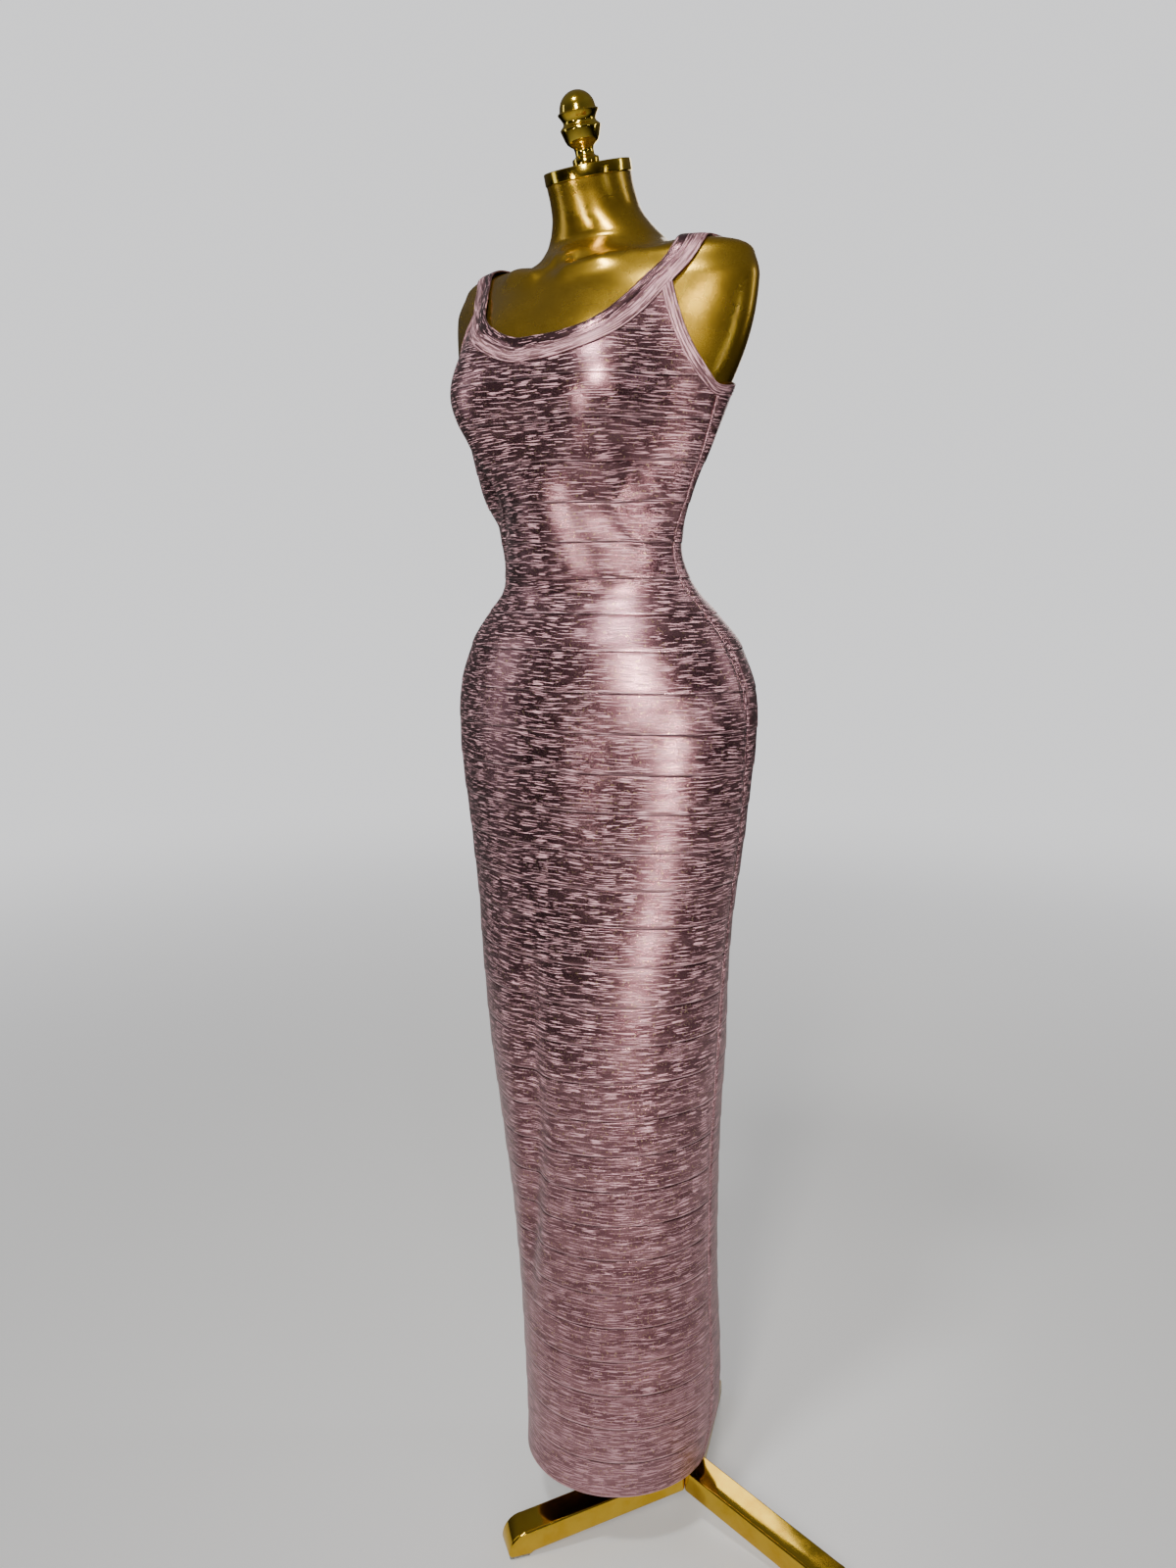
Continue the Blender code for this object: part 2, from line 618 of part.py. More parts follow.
def cylinder_mesh(name, radius, low, high, segments):
    bm = bmesh.new()
    bmesh.ops.create_cone(
        bm,
        cap_ends=True,
        segments=segments,
        radius1=radius,
        radius2=radius,
        depth=high - low,
        matrix=Matrix.Translation((0.0, 0.0, (low + high) / 2)),
    )
    return finish_mesh(bm, name)


def pad_mesh(name):
    bm = bmesh.new()
    bmesh.ops.create_cube(bm, size=1.0)
    bmesh.ops.scale(bm, verts=bm.verts, vec=(PAD_LENGTH, PAD_WIDTH, PAD_THICKNESS))
    centre = LEG_REACH - PAD_INSET - PAD_LENGTH / 2
    bmesh.ops.translate(bm, verts=bm.verts, vec=(centre, 0.0, PAD_THICKNESS / 2))
    return finish_mesh(bm, name)


def make_material(name):
    colour, roughness, metallic = FINISHES[name]
    material = bpy.data.materials.new(name)
    material.use_nodes = True
    shader = material.node_tree.nodes["Principled BSDF"]
    shader.inputs["Base Color"].default_value = (*colour, 1.0)
    shader.inputs["Roughness"].default_value = roughness
    shader.inputs["Metallic"].default_value = metallic
    return material


def place(obj, collection, material, matrix, bevel=0.0):
    """Links the object, gives it its finish and place, and softens its edges if asked."""
    obj.data.materials.clear()
    obj.data.materials.append(material)
    if not obj.modifiers:
        obj.data.shade_smooth()
        obj.data.set_sharp_from_angle(angle=SHARP_ANGLE)
    if bevel:
        soften = obj.modifiers.new("soften", "BEVEL")
        soften.width = bevel
        soften.segments = 2
        soften.limit_method = "ANGLE"
        soften.angle_limit = BEVEL_ANGLE
    collection.objects.link(obj)
    obj.matrix_world = Matrix.Translation(-BOX_MIDDLE) @ matrix


def main():
    for obj in list(bpy.data.objects):
        bpy.data.objects.remove(obj)
    collection = bpy.data.collections.new("bodycon_dress")
    bpy.context.scene.collection.children.link(collection)
    finishes = {name: make_material(name) for name in FINISHES}

    def add(mesh, finish, matrix=Matrix.Identity(4), bevel=0.0):
        place(bpy.data.objects.new(mesh.name, mesh), collection, finishes[finish], matrix, bevel)

    add(panel_mesh("dress_front", FRONT_PANEL), "foil_knit")
    add(panel_mesh("dress_back", BACK_PANEL), "foil_knit")
    add(neck_band_mesh("neck_band"), "foil_knit")
    add(armhole_band_mesh("armhole_band_left", True), "foil_knit")
    add(armhole_band_mesh("armhole_band_right", False), "foil_knit")
    add(form_mesh("form_torso"), "gold_lacquer")
    cap = cylinder_mesh("neck_cap", CAP_RADIUS, 0.0, CAP_THICKNESS, CAP_SEGMENTS)
    add(cap, "polished_gold", neck_top_frame(PLACE_GAP), CAP_BEVEL)
    finial = finial_object("finial")
    rise = CAP_THICKNESS + 2 * PLACE_GAP
    place(finial, collection, finishes["polished_gold"], neck_top_frame(rise))

    stand = Matrix.Translation(POLE_CENTRE)
    pole_top = FORM_BASE_HEIGHT - PLACE_GAP
    pole = cylinder_mesh("pole", POLE_RADIUS, LEG_TOP + PLACE_GAP, pole_top, POLE_SEGMENTS)
    add(pole, "dark_steel", stand)
    for number, angle in enumerate(LEG_ANGLES, start=1):
        turn = stand @ Matrix.Rotation(math.radians(angle - 90), 4, "Z")
        add(leg_mesh(f"leg_{number}"), "polished_gold", turn, LEG_BEVEL)
        add(pad_mesh(f"foot_pad_{number}"), "clear_pad", turn)


main()
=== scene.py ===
import functools
import math

import bmesh
import bpy
from mathutils import Matrix, Vector, noise


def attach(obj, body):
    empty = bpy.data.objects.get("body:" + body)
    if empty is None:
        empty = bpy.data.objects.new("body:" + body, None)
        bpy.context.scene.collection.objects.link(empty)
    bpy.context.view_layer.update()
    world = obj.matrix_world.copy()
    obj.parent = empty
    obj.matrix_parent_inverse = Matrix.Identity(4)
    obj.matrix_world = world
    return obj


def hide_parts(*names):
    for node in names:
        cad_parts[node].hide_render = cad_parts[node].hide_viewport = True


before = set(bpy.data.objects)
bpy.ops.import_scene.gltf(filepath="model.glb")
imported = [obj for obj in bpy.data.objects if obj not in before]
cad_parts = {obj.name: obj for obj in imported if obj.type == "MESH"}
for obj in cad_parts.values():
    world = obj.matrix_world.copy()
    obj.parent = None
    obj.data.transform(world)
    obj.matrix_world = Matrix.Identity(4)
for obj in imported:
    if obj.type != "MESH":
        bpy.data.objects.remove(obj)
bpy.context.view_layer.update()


# CAMERA. It stands in front of the form and to its left, a little lower than the waist, and
# looks slightly down through a wide lens.
EYE = Vector((0.7608, -1.1461, 1.11))
EYE_TURN = math.radians(38)
EYE_DIP = math.radians(9.08)
lens = bpy.data.cameras.new("viewing_lens")
lens.lens = 28.575
lens.sensor_width = 36.0
camera = bpy.data.objects.new("viewing_camera", lens)
camera.location = EYE
camera.rotation_euler = (math.pi / 2 - EYE_DIP, 0.0, EYE_TURN)
bpy.context.scene.collection.objects.link(camera)
bpy.context.scene.camera = camera


# STUDIO. A plain pale floor under a pale surround, lit by soft boxes. Two low narrow ones draw the
# bright patches on the foil at waist and hip, one lights the chest, one shines from above, and
# the others fill in from the sides and from behind.
FLOOR_RADIUS = 40.0
FLOOR_FADE = (0.6, 5.0)
FLOOR_COLOUR = (0.76, 0.765, 0.75, 1.0)
SURROUND_SEEN = (1.13, 1.13, 1.15, 1.0)
SURROUND_LOW = (0.025, 0.024, 0.024, 1.0)
SURROUND_HIGH = (0.12, 0.12, 0.125, 1.0)
BODY_AXIS = Vector((-0.0642, -0.0902, 0.0))
WARM = (1.0, 0.95, 0.90)
COOL = (0.93, 0.96, 1.0)
PLAIN = (1.0, 1.0, 1.0)


class Finish:
    """A surface finish, built up node by node round one shader."""

    def __init__(self, name):
        self.material = bpy.data.materials.new(name)
        self.material.use_nodes = True
        self.tree = self.material.node_tree
        self.shader = self.tree.nodes["Principled BSDF"]

    def node(self, kind, **settings):
        made = self.tree.nodes.new(kind)
        for key, value in settings.items():
            setattr(made, key, value)
        return made

    def feed(self, socket, value):
        if isinstance(value, bpy.types.NodeSocket):
            self.tree.links.new(value, socket)
        else:
            socket.default_value = value

    def set(self, **values):
        """Shader inputs by name, with _ for a space."""
        for name, value in values.items():
            self.feed(self.shader.inputs[name.replace("_", " ")], value)

    def math(self, operation, *values, clamp=False):
        made = self.node("ShaderNodeMath", operation=operation, use_clamp=clamp)
        for socket, value in zip(made.inputs, values):
            self.feed(socket, value)
        return made.outputs[0]

    def point(self, x, y, z=0.0):
        made = self.node("ShaderNodeCombineXYZ")
        for socket, value in zip(made.inputs, (x, y, z)):
            self.feed(socket, value)
        return made.outputs[0]

    def place(self):
        return self.node("ShaderNodeTexCoord").outputs["Object"]

    def cloud(self, at, scale, detail=2.0, roughness=0.5, flat=False):
        made = self.node("ShaderNodeTexNoise", noise_dimensions="2D" if flat else "3D")
        self.feed(made.inputs["Vector"], at)
        self.feed(made.inputs["Scale"], scale)
        self.feed(made.inputs["Detail"], detail)
        self.feed(made.inputs["Roughness"], roughness)
        return made.outputs[0]

    def ease(self, value, low, high, start=0.0, end=1.0):
        """Goes smoothly from start to end as value goes from low to high."""
        made = self.node("ShaderNodeMapRange", interpolation_type="SMOOTHSTEP")
        for socket, number in zip(made.inputs, (value, low, high, start, end)):
            self.feed(socket, number)
        return made.outputs[0]

    def blend(self, share, first, second):
        made = self.node("ShaderNodeMix", data_type="RGBA")
        self.feed(made.inputs[0], share)
        self.feed(made.inputs[6], first)
        self.feed(made.inputs[7], second)
        return made.outputs[2]

    def relief(self, height, depth, strength=1.0):
        made = self.node("ShaderNodeBump")
        self.feed(made.inputs["Height"], height)
        made.inputs["Distance"].default_value = depth
        made.inputs["Strength"].default_value = strength
        self.feed(self.shader.inputs["Normal"], made.outputs[0])


floor_finish = Finish("pale_floor")
floor_tone = floor_finish.cloud(floor_finish.place(), 1.3, 3.0)
floor_split = floor_finish.node("ShaderNodeSeparateXYZ")
floor_finish.feed(floor_split.inputs[0], floor_finish.place())
floor_far = floor_finish.math(
    "SQRT",
    floor_finish.math(
        "ADD",
        floor_finish.math("POWER", floor_finish.math("ABSOLUTE", floor_split.outputs[0]), 2.0),
        floor_finish.math("POWER", floor_finish.math("ABSOLUTE", floor_split.outputs[1]), 2.0),
    ),
)
floor_glow = floor_finish.math(
    "MULTIPLY",
    floor_finish.ease(floor_far, *FLOOR_FADE, 0.20, 1.0),
    floor_finish.node("ShaderNodeLightPath").outputs["Is Camera Ray"],
)
floor_finish.set(
    Base_Color=floor_finish.blend(
        floor_finish.ease(floor_far, *FLOOR_FADE),
        floor_finish.blend(floor_tone, FLOOR_COLOUR, (0.80, 0.80, 0.78, 1.0)),
        (0.0, 0.0, 0.0, 1.0),
    ),
    Roughness=floor_finish.ease(floor_far, *FLOOR_FADE, 0.3, 1.0),
    Specular_IOR_Level=0.3,
    Emission_Color=SURROUND_SEEN,
    Emission_Strength=floor_glow,
)
bm = bmesh.new()
bmesh.ops.create_circle(bm, cap_ends=True, radius=FLOOR_RADIUS, segments=96)
floor_mesh = bpy.data.meshes.new("floor")
bm.to_mesh(floor_mesh)
bm.free()
floor_mesh.materials.append(floor_finish.material)
floor = bpy.data.objects.new("floor", floor_mesh)
bpy.context.scene.collection.objects.link(floor)

world = bpy.data.worlds.new("studio")
world.use_nodes = True
bpy.context.scene.world = world
sky = world.node_tree
sky_light = sky.nodes["Background"]
aim = sky.nodes.new("ShaderNodeTexCoord")
split = sky.nodes.new("ShaderNodeSeparateXYZ")
rise = sky.nodes.new("ShaderNodeMapRange")
rise.interpolation_type = "SMOOTHSTEP"
rise.inputs["From Min"].default_value = -0.15
rise.inputs["From Max"].default_value = 0.75
shade = sky.nodes.new("ShaderNodeMix")
shade.data_type = "RGBA"
shade.inputs[6].default_value = SURROUND_LOW
shade.inputs[7].default_value = SURROUND_HIGH
seen = sky.nodes.new("ShaderNodeMix")
seen.data_type = "RGBA"
seen.inputs[7].default_value = SURROUND_SEEN
rays = sky.nodes.new("ShaderNodeLightPath")
sky.links.new(aim.outputs["Generated"], split.inputs[0])
sky.links.new(split.outputs["Z"], rise.inputs["Value"])
sky.links.new(rise.outputs[0], shade.inputs[0])
sky.links.new(shade.outputs[2], seen.inputs[6])
sky.links.new(rays.outputs["Is Camera Ray"], seen.inputs[0])
sky.links.new(seen.outputs[2], sky_light.inputs["Color"])

SOFT_BOXES = (
    # name, degrees round from the front, distance, height, aimed at height, width, length,
    # degrees that the light spreads, watts, tint
    ("hip_box", 51, 2.3, 0.58, 0.64, 0.13, 0.5, 30, 1.45, WARM),
    ("chest_box", 27, 2.1, 1.75, 1.35, 0.28, 0.8, 100, 17, WARM),
    ("waist_box", -4, 2.3, 0.50, 1.31, 0.14, 0.4, 17, 0.17, WARM),
    ("side_box", 84, 2.3, 1.2, 1.15, 0.04, 0.7, 100, 0.5, COOL),
    ("top_box", 8, 1.4, 3.1, 1.0, 0.32, 0.32, 120, 14, PLAIN),
    ("fill_box", -62, 2.6, 1.5, 1.0, 0.5, 2.0, 180, 5.5, COOL),
    ("back_box_left", 132, 2.6, 2.0, 1.0, 0.2, 1.4, 180, 6, PLAIN),
    ("back_box_right", -158, 2.6, 1.9, 1.0, 1.0, 1.6, 180, 14, WARM),
)
for name, turn, distance, height, target, width, length, spread, watts, tint in SOFT_BOXES:
    box = bpy.data.lights.new(name, "AREA")
    box.shape = "RECTANGLE"
    box.size = width
    box.size_y = length
    box.spread = math.radians(spread)
    box.energy = watts
    box.color = tint
    lamp = bpy.data.objects.new(name, box)
    away = Vector((math.sin(math.radians(turn)), -math.cos(math.radians(turn)), 0.0))
    lamp.location = BODY_AXIS + away * distance + Vector((0.0, 0.0, height))
    toward = BODY_AXIS + Vector((0.0, 0.0, target)) - lamp.location
    lamp.rotation_euler = toward.to_track_quat("-Z", "Y").to_euler()
    bpy.context.scene.collection.objects.link(lamp)


# STAND. Three straight gold-plated bars, mitred together under the pole, each rounded over at
# its tip and standing on a clear soft pad. A plain steel tube goes up from them into the form.
POLE_FOOT = Vector((0.0198, -0.0032, 0.0))
POLE_RADIUS = 0.0125
POLE_TOP = 0.7647
POLE_EDGE = 0.0008
LEG_ANGLES = (-34.4, 85.6, 205.6)
LEG_REACH = 0.226
LEG_WIDTH = 0.036
LEG_DEPTH = 0.028
LEG_TOP = 0.070
LEG_TIP_TOP = 0.034
LEG_TIP_CURVE = 0.024
LEG_TIP_FLAT = 0.004
LEG_TIP_STEPS = 12
LEG_TOE = 0.006
LEG_EDGE = 0.0028
MITRE_GAP = 0.0003
PAD_INSET = 0.002
PAD_LENGTH = 0.024
PAD_WIDTH = 0.029
PAD_THICKNESS = 0.004
PAD_EDGE = 0.0012


def show(bm, name, finish, slot, *nodes, matrix=None):
    """The finished piece: it rides on the body and stands for these nodes."""
    if matrix is not None:
        bmesh.ops.transform(bm, matrix=matrix, verts=bm.verts)
    mesh = bpy.data.meshes.new(name)
    bm.to_mesh(mesh)
    bm.free()
    mesh.materials.append(finish.material)
    mesh.shade_smooth()
    piece = bpy.data.objects.new(name, mesh)
    bpy.context.scene.collection.objects.link(piece)
    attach(piece, "root")
    if nodes:
        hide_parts(*nodes)
    return piece


def edges_sharper_than(bm, degrees):
    limit = math.radians(degrees)
    return [e for e in bm.edges if e.is_manifold and e.calc_face_angle(0.0) > limit]


def round_over(bm, edges, radius, segments, clamp=False):
    bmesh.ops.bevel(
        bm,
        geom=edges,
        offset=radius,
        segments=segments,
        profile=0.5,
        affect="EDGES",
        material=-1,
        clamp_overlap=clamp,
    )


def plated_gold(name, colour, smooth, worn):
    """Mirror plating with faint wiping marks and a slightly uneven base."""
    finish = Finish(name)
    at = finish.place()
    wipes = finish.cloud(at, 38.0, 5.0, 0.6)
    specks = finish.cloud(at, 900.0, 1.0)
    finish.set(
        Base_Color=finish.blend(finish.ease(wipes, 0.35, 0.7), colour, (0.72, 0.44, 0.035, 1.0)),
        Roughness=finish.ease(wipes, 0.3, 0.75, smooth, worn),
        Metallic=1.0,
    )
    finish.relief(specks, 0.00004, 0.35)
    return finish


leg_gold = plated_gold("plated_gold_legs", (0.80, 0.53, 0.055, 1.0), 0.08, 0.18)
for number, angle in enumerate(LEG_ANGLES, start=1):
    stand_turn = Matrix.Translation(POLE_FOOT) @ Matrix.Rotation(math.radians(angle - 90), 4, "Z")
    start = LEG_REACH - LEG_TIP_CURVE
    foot = PAD_THICKNESS + MITRE_GAP
    outline = [(0.0, LEG_TOP)]
    for i in range(LEG_TIP_STEPS + 1):
        roll = math.pi / 2 * i / LEG_TIP_STEPS
        drop = (LEG_TIP_TOP - foot - LEG_TIP_FLAT) * (1 - math.cos(roll))
        outline.append((start + LEG_TIP_CURVE * math.sin(roll), LEG_TIP_TOP - drop))
    inner = LEG_REACH - PAD_LENGTH - LEG_TOE
    slope = (LEG_TOP - LEG_TIP_TOP) / start
    outline.append((LEG_REACH - PAD_INSET, foot))
    outline.append((LEG_REACH - PAD_INSET - PAD_LENGTH, foot))
    outline.append((inner, LEG_TOP - slope * inner - LEG_DEPTH))
    outline.append((0.0, LEG_TOP - LEG_DEPTH))
    bm = bmesh.new()
    side = bm.faces.new([bm.verts.new((x, -LEG_WIDTH / 2, z)) for x, z in outline])
    moved = bmesh.ops.extrude_face_region(bm, geom=[side])["geom"]
    far = [v for v in moved if isinstance(v, bmesh.types.BMVert)]
    bmesh.ops.translate(bm, verts=far, vec=(0.0, LEG_WIDTH, 0.0))
    for hand in (1, -1):
        mitre = Matrix.Rotation(math.radians(60) * hand, 3, "Z") @ Vector((0.0, hand, 0.0))
        cut = bmesh.ops.bisect_plane(
            bm,
            geom=bm.verts[:] + bm.edges[:] + bm.faces[:],
            plane_co=-mitre * MITRE_GAP / 2,
            plane_no=mitre,
            clear_outer=True,
        )
        rim = [e for e in cut["geom_cut"] if isinstance(e, bmesh.types.BMEdge)]
        bmesh.ops.holes_fill(bm, edges=rim, sides=0)
    bmesh.ops.recalc_face_normals(bm, faces=bm.faces)
    round_over(bm, edges_sharper_than(bm, 40), LEG_EDGE, 4, clamp=True)
    name, node = f"leg_bar_{number}", f"leg_{number}"
    leg = show(bm, name, leg_gold, "polished_gold", node, matrix=stand_turn)
    leg.data.set_sharp_from_angle(angle=math.radians(35))

pad_plastic = Finish("clear_pad")
pad_haze = pad_plastic.cloud(pad_plastic.place(), 260.0, 3.0)
pad_plastic.set(
    Base_Color=pad_plastic.blend(pad_haze, (0.80, 0.81, 0.80, 1.0), (0.66, 0.67, 0.66, 1.0)),
    Roughness=pad_plastic.ease(pad_haze, 0.3, 0.7, 0.22, 0.42),
    Transmission_Weight=0.55,
    IOR=1.46,
)
for number, angle in enumerate(LEG_ANGLES, start=1):
    bm = bmesh.new()
    bmesh.ops.create_cube(bm, size=1.0)
    bmesh.ops.scale(bm, verts=bm.verts, vec=(PAD_LENGTH, PAD_WIDTH, PAD_THICKNESS))
    round_over(bm, bm.edges[:], PAD_EDGE, 3)
    centre = LEG_REACH - PAD_INSET - PAD_LENGTH / 2
    bmesh.ops.translate(bm, verts=bm.verts, vec=(centre, 0.0, PAD_THICKNESS / 2))
    stand_turn = Matrix.Translation(POLE_FOOT) @ Matrix.Rotation(math.radians(angle - 90), 4, "Z")
    name, node = f"soft_pad_{number}", f"foot_pad_{number}"
    show(bm, name, pad_plastic, "clear_pad", node, matrix=stand_turn)

tube_steel = Finish("drawn_steel")
tube_split = tube_steel.node("ShaderNodeSeparateXYZ")
tube_steel.feed(tube_split.inputs[0], tube_steel.place())
draw_lines = tube_steel.cloud(
    tube_steel.point(
        tube_steel.math("MULTIPLY", tube_split.outputs[0], 900.0),
        tube_steel.math("MULTIPLY", tube_split.outputs[1], 900.0),
        tube_steel.math("MULTIPLY", tube_split.outputs[2], 6.0),
    ),
    1.0,
    3.0,
)
tube_steel.set(
    Base_Color=tube_steel.blend(draw_lines, (0.30, 0.29, 0.28, 1.0), (0.20, 0.19, 0.18, 1.0)),
    Roughness=tube_steel.ease(draw_lines, 0.3, 0.7, 0.28, 0.48),
    Metallic=1.0,
)
tube_steel.relief(draw_lines, 0.00005, 0.4)
bm = bmesh.new()
pole_low = LEG_TOP + MITRE_GAP
bmesh.ops.create_cone(
    bm,
    cap_ends=True,
    segments=64,
    radius1=POLE_RADIUS,
    radius2=POLE_RADIUS,
    depth=POLE_TOP - pole_low,
    matrix=Matrix.Translation(POLE_FOOT + Vector((0.0, 0.0, (POLE_TOP + pole_low) / 2))),
)
round_over(bm, edges_sharper_than(bm, 60), POLE_EDGE, 2)
show(bm, "pole_tube", tube_steel, "dark_steel", "pole")


# FORM. A hollow moulded torso without head or arms, from its flat base inside the skirt to the
# tilted top of its neck, sprayed with fine metallic gold lacquer under a clear coat.
BOX_MIDDLE = Vector((0.0642, 0.0902, 0.0))
SECTIONS = (
    # height half_width front  back  centre_y cloth_side form_side side_turn bust
    (0.000, 0.1040, 0.1040, 0.1040, 0.0560, 0.000, 0.000, 0, 0.000),
    (0.080, 0.1075, 0.1130, 0.1030, 0.0635, 0.000, 0.000, 0, 0.000),
    (0.125, 0.1130, 0.1185, 0.1150, 0.0715, 0.000, 0.000, 0, 0.000),
    (0.200, 0.1145, 0.1190, 0.1190, 0.0690, 0.000, 0.000, 0, 0.000),
    (0.300, 0.1155, 0.1160, 0.1160, 0.0606, 0.000, 0.000, 0, 0.000),
    (0.400, 0.1185, 0.1185, 0.1185, 0.0530, 0.000, 0.000, 0, 0.000),
    (0.500, 0.1245, 0.1238, 0.1238, 0.0447, 0.000, 0.000, 0, 0.000),
    (0.600, 0.1340, 0.1289, 0.1289, 0.0380, 0.000, 0.000, 0, 0.000),
    (0.700, 0.1450, 0.1203, 0.1203, 0.0291, 0.000, 0.000, 0, 0.000),
    (0.765, 0.1530, 0.1148, 0.1148, 0.0280, 0.000, 0.000, 0, 0.000),
    (0.850, 0.1660, 0.1162, 0.1162, 0.0276, 0.000, 0.000, 0, 0.000),
    (0.900, 0.1730, 0.1174, 0.1174, 0.0255, 0.000, 0.000, 0, 0.000),
    (0.950, 0.1780, 0.1198, 0.1198, 0.0262, 0.000, 0.000, 0, 0.000),
    (1.000, 0.1760, 0.1198, 0.1198, 0.0272, 0.000, 0.000, 0, 0.000),
    (1.050, 0.1570, 0.1100, 0.1100, 0.0262, 0.000, 0.000, 0, 0.000),
    (1.075, 0.1400, 0.0900, 0.0900, 0.0220, 0.001, 0.000, 0, 0.000),
    (1.100, 0.1150, 0.0740, 0.0800, 0.0175, 0.004, 0.000, -1, 0.000),
    (1.125, 0.1005, 0.0740, 0.0770, 0.0100, 0.009, 0.002, -2, 0.000),
    (1.150, 0.0930, 0.0770, 0.0780, 0.0055, 0.017, 0.006, -3, 0.000),
    (1.200, 0.0880, 0.0830, 0.0780, -0.002, 0.042, 0.016, -4, 0.000),
    (1.250, 0.1090, 0.0970, 0.0900, 0.0000, 0.041, 0.030, -2, 0.018),
    (1.300, 0.1340, 0.1130, 0.1000, 0.0000, 0.034, 0.034, 0, 0.018),
    (1.350, 0.1400, 0.1060, 0.1000, 0.0020, 0.045, 0.045, 3, 0.007),
    (1.400, 0.1380, 0.0800, 0.0960, 0.0060, 0.0535, 0.0535, 3, 0.000),
    (1.420, 0.1320, 0.0700, 0.0890, 0.0100, 0.0535, 0.0535, 3, 0.000),
    (1.434, 0.1220, 0.0640, 0.0810, 0.0140, 0.0530, 0.0530, 2, 0.000),
    (1.442, 0.1060, 0.0600, 0.0710, 0.0210, 0.040, 0.040, 0, 0.000),
    (1.447, 0.0880, 0.0610, 0.0620, 0.0310, 0.010, 0.010, 0, 0.000),
    (1.455, 0.0730, 0.0595, 0.0580, 0.0360, 0.000, 0.000, 0, 0.000),
    (1.463, 0.0635, 0.0578, 0.0560, 0.0330, 0.000, 0.000, 0, 0.000),
    (1.473, 0.0545, 0.0516, 0.0530, 0.0240, 0.000, 0.000, 0, 0.000),
    (1.484, 0.0477, 0.0463, 0.0470, 0.0156, 0.000, 0.000, 0, 0.000),
    (1.500, 0.0440, 0.0437, 0.0437, 0.0080, 0.000, 0.000, 0, 0.000),
    (1.512, 0.0430, 0.0430, 0.0430, 0.0030, 0.000, 0.000, 0, 0.000),
    (1.530, 0.0430, 0.0430, 0.0430, -0.002, 0.000, 0.000, 0, 0.000),
    (1.550, 0.0430, 0.0430, 0.0430, -0.008, 0.000, 0.000, 0, 0.000),
)
HEIGHT, HALF_WIDTH, FRONT, BACK, CENTRE_Y, CLOTH_SIDE, FORM_SIDE, SIDE_TURN, BUST = range(9)
SIDE_ANGLE = math.radians(91)
SIDE_SPREAD = math.radians(17)
BUST_ANGLE = math.radians(42)
BUST_SPREAD = math.radians(22)
FORM_BASE = 0.765
# The bare form is drawn in this much, more and more over the first height up to the underarm,
# and less and less over the second below the neck's top
FORM_EASE = 0.0016
EASE_RISE = 0.0515
EASE_FALL = 0.060
UNDERARM = 1.291
NECK_TOP = 1.5155
NECK_LEAN = math.radians(17)
LEAN_START = 1.462
FORM_COLUMNS = 200
FORM_ROWS = 300
# Half of the turn and of the height over which a surface's slope is taken
SLOPE_TURN = 0.015
SLOPE_HEIGHT = 0.002
# The collarbones start at this height and rise outward. They, the hollows over them, the notch
# between them and the breastbone's dip each have a depth and a spread in metres.
COLLAR_HEIGHT = 1.414
COLLAR_RISE = 0.010
COLLAR_DEPTH, COLLAR_SPREAD = 0.0045, 0.009
HOLLOW_ABOVE = 0.019
HOLLOW_DEPTH, HOLLOW_SPREAD = 0.0085, 0.0085
NOTCH_HEIGHT, NOTCH_DEPTH, NOTCH_SPREAD = 1.424, 0.0030, 0.010
BREAST_HEIGHT, BREAST_DEPTH, BREAST_SPREAD = 1.350, 0.0018, 0.040


@functools.lru_cache(maxsize=20000)
def section_at(height):
    """Every column of the table at this height, by a smooth curve through its rows."""
    i = 1
    while i < len(SECTIONS) - 3 and SECTIONS[i + 1][HEIGHT] < height:
        i += 1
    before, low, high, after = SECTIONS[i - 1 : i + 3]
    step = high[HEIGHT] - low[HEIGHT]
    t = (height - low[HEIGHT]) / step
    values = []
    for column in range(len(low)):
        slope_low = (high[column] - before[column]) / (high[HEIGHT] - before[HEIGHT])
        slope_high = (after[column] - low[column]) / (after[HEIGHT] - low[HEIGHT])
        values.append(
            low[column] * (1 + 2 * t) * (1 - t) ** 2
            + high[column] * t * t * (3 - 2 * t)
            + step * slope_low * t * (1 - t) ** 2
            + step * slope_high * t * t * (t - 1)
        )
    return values


def hump(value, centre, spread):
    return math.exp(-(((value - centre) / spread) ** 2))


def fade(value, low, high):
    """0 below low, 1 above high, smooth between."""
    t = min(max((value - low) / (high - low), 0.0), 1.0)
    return t * t * (3 - 2 * t)


def radius_at(angle, height, side):
    """From the section's middle to the smooth surface of the cloth or of the form."""
    angle = math.remainder(angle, math.tau)
    row = section_at(height)
    depth = row[FRONT] if abs(angle) < math.pi / 2 else row[BACK]
    ellipse = 1 / math.hypot(math.sin(angle) / row[HALF_WIDTH], math.cos(angle) / depth)
    side_angle = SIDE_ANGLE + math.radians(row[SIDE_TURN])
    at_side = row[side] * hump(abs(angle), side_angle, SIDE_SPREAD)
    return ellipse + at_side + row[BUST] * hump(abs(angle), BUST_ANGLE, BUST_SPREAD)


def surface_point(angle, height, side, out=0.0):
    """A point of that surface, moved out along its normal."""

    def plain(a, z):
        r = radius_at(a, z, side)
        return Vector((r * math.sin(a), section_at(z)[CENTRE_Y] - r * math.cos(a), z))

    at = plain(angle, height)
    if not out:
        return at
    along = plain(angle + SLOPE_TURN, height) - plain(angle - SLOPE_TURN, height)
    up = plain(angle, height + SLOPE_HEIGHT) - plain(angle, height - SLOPE_HEIGHT)
    return at + along.cross(up).normalized() * out


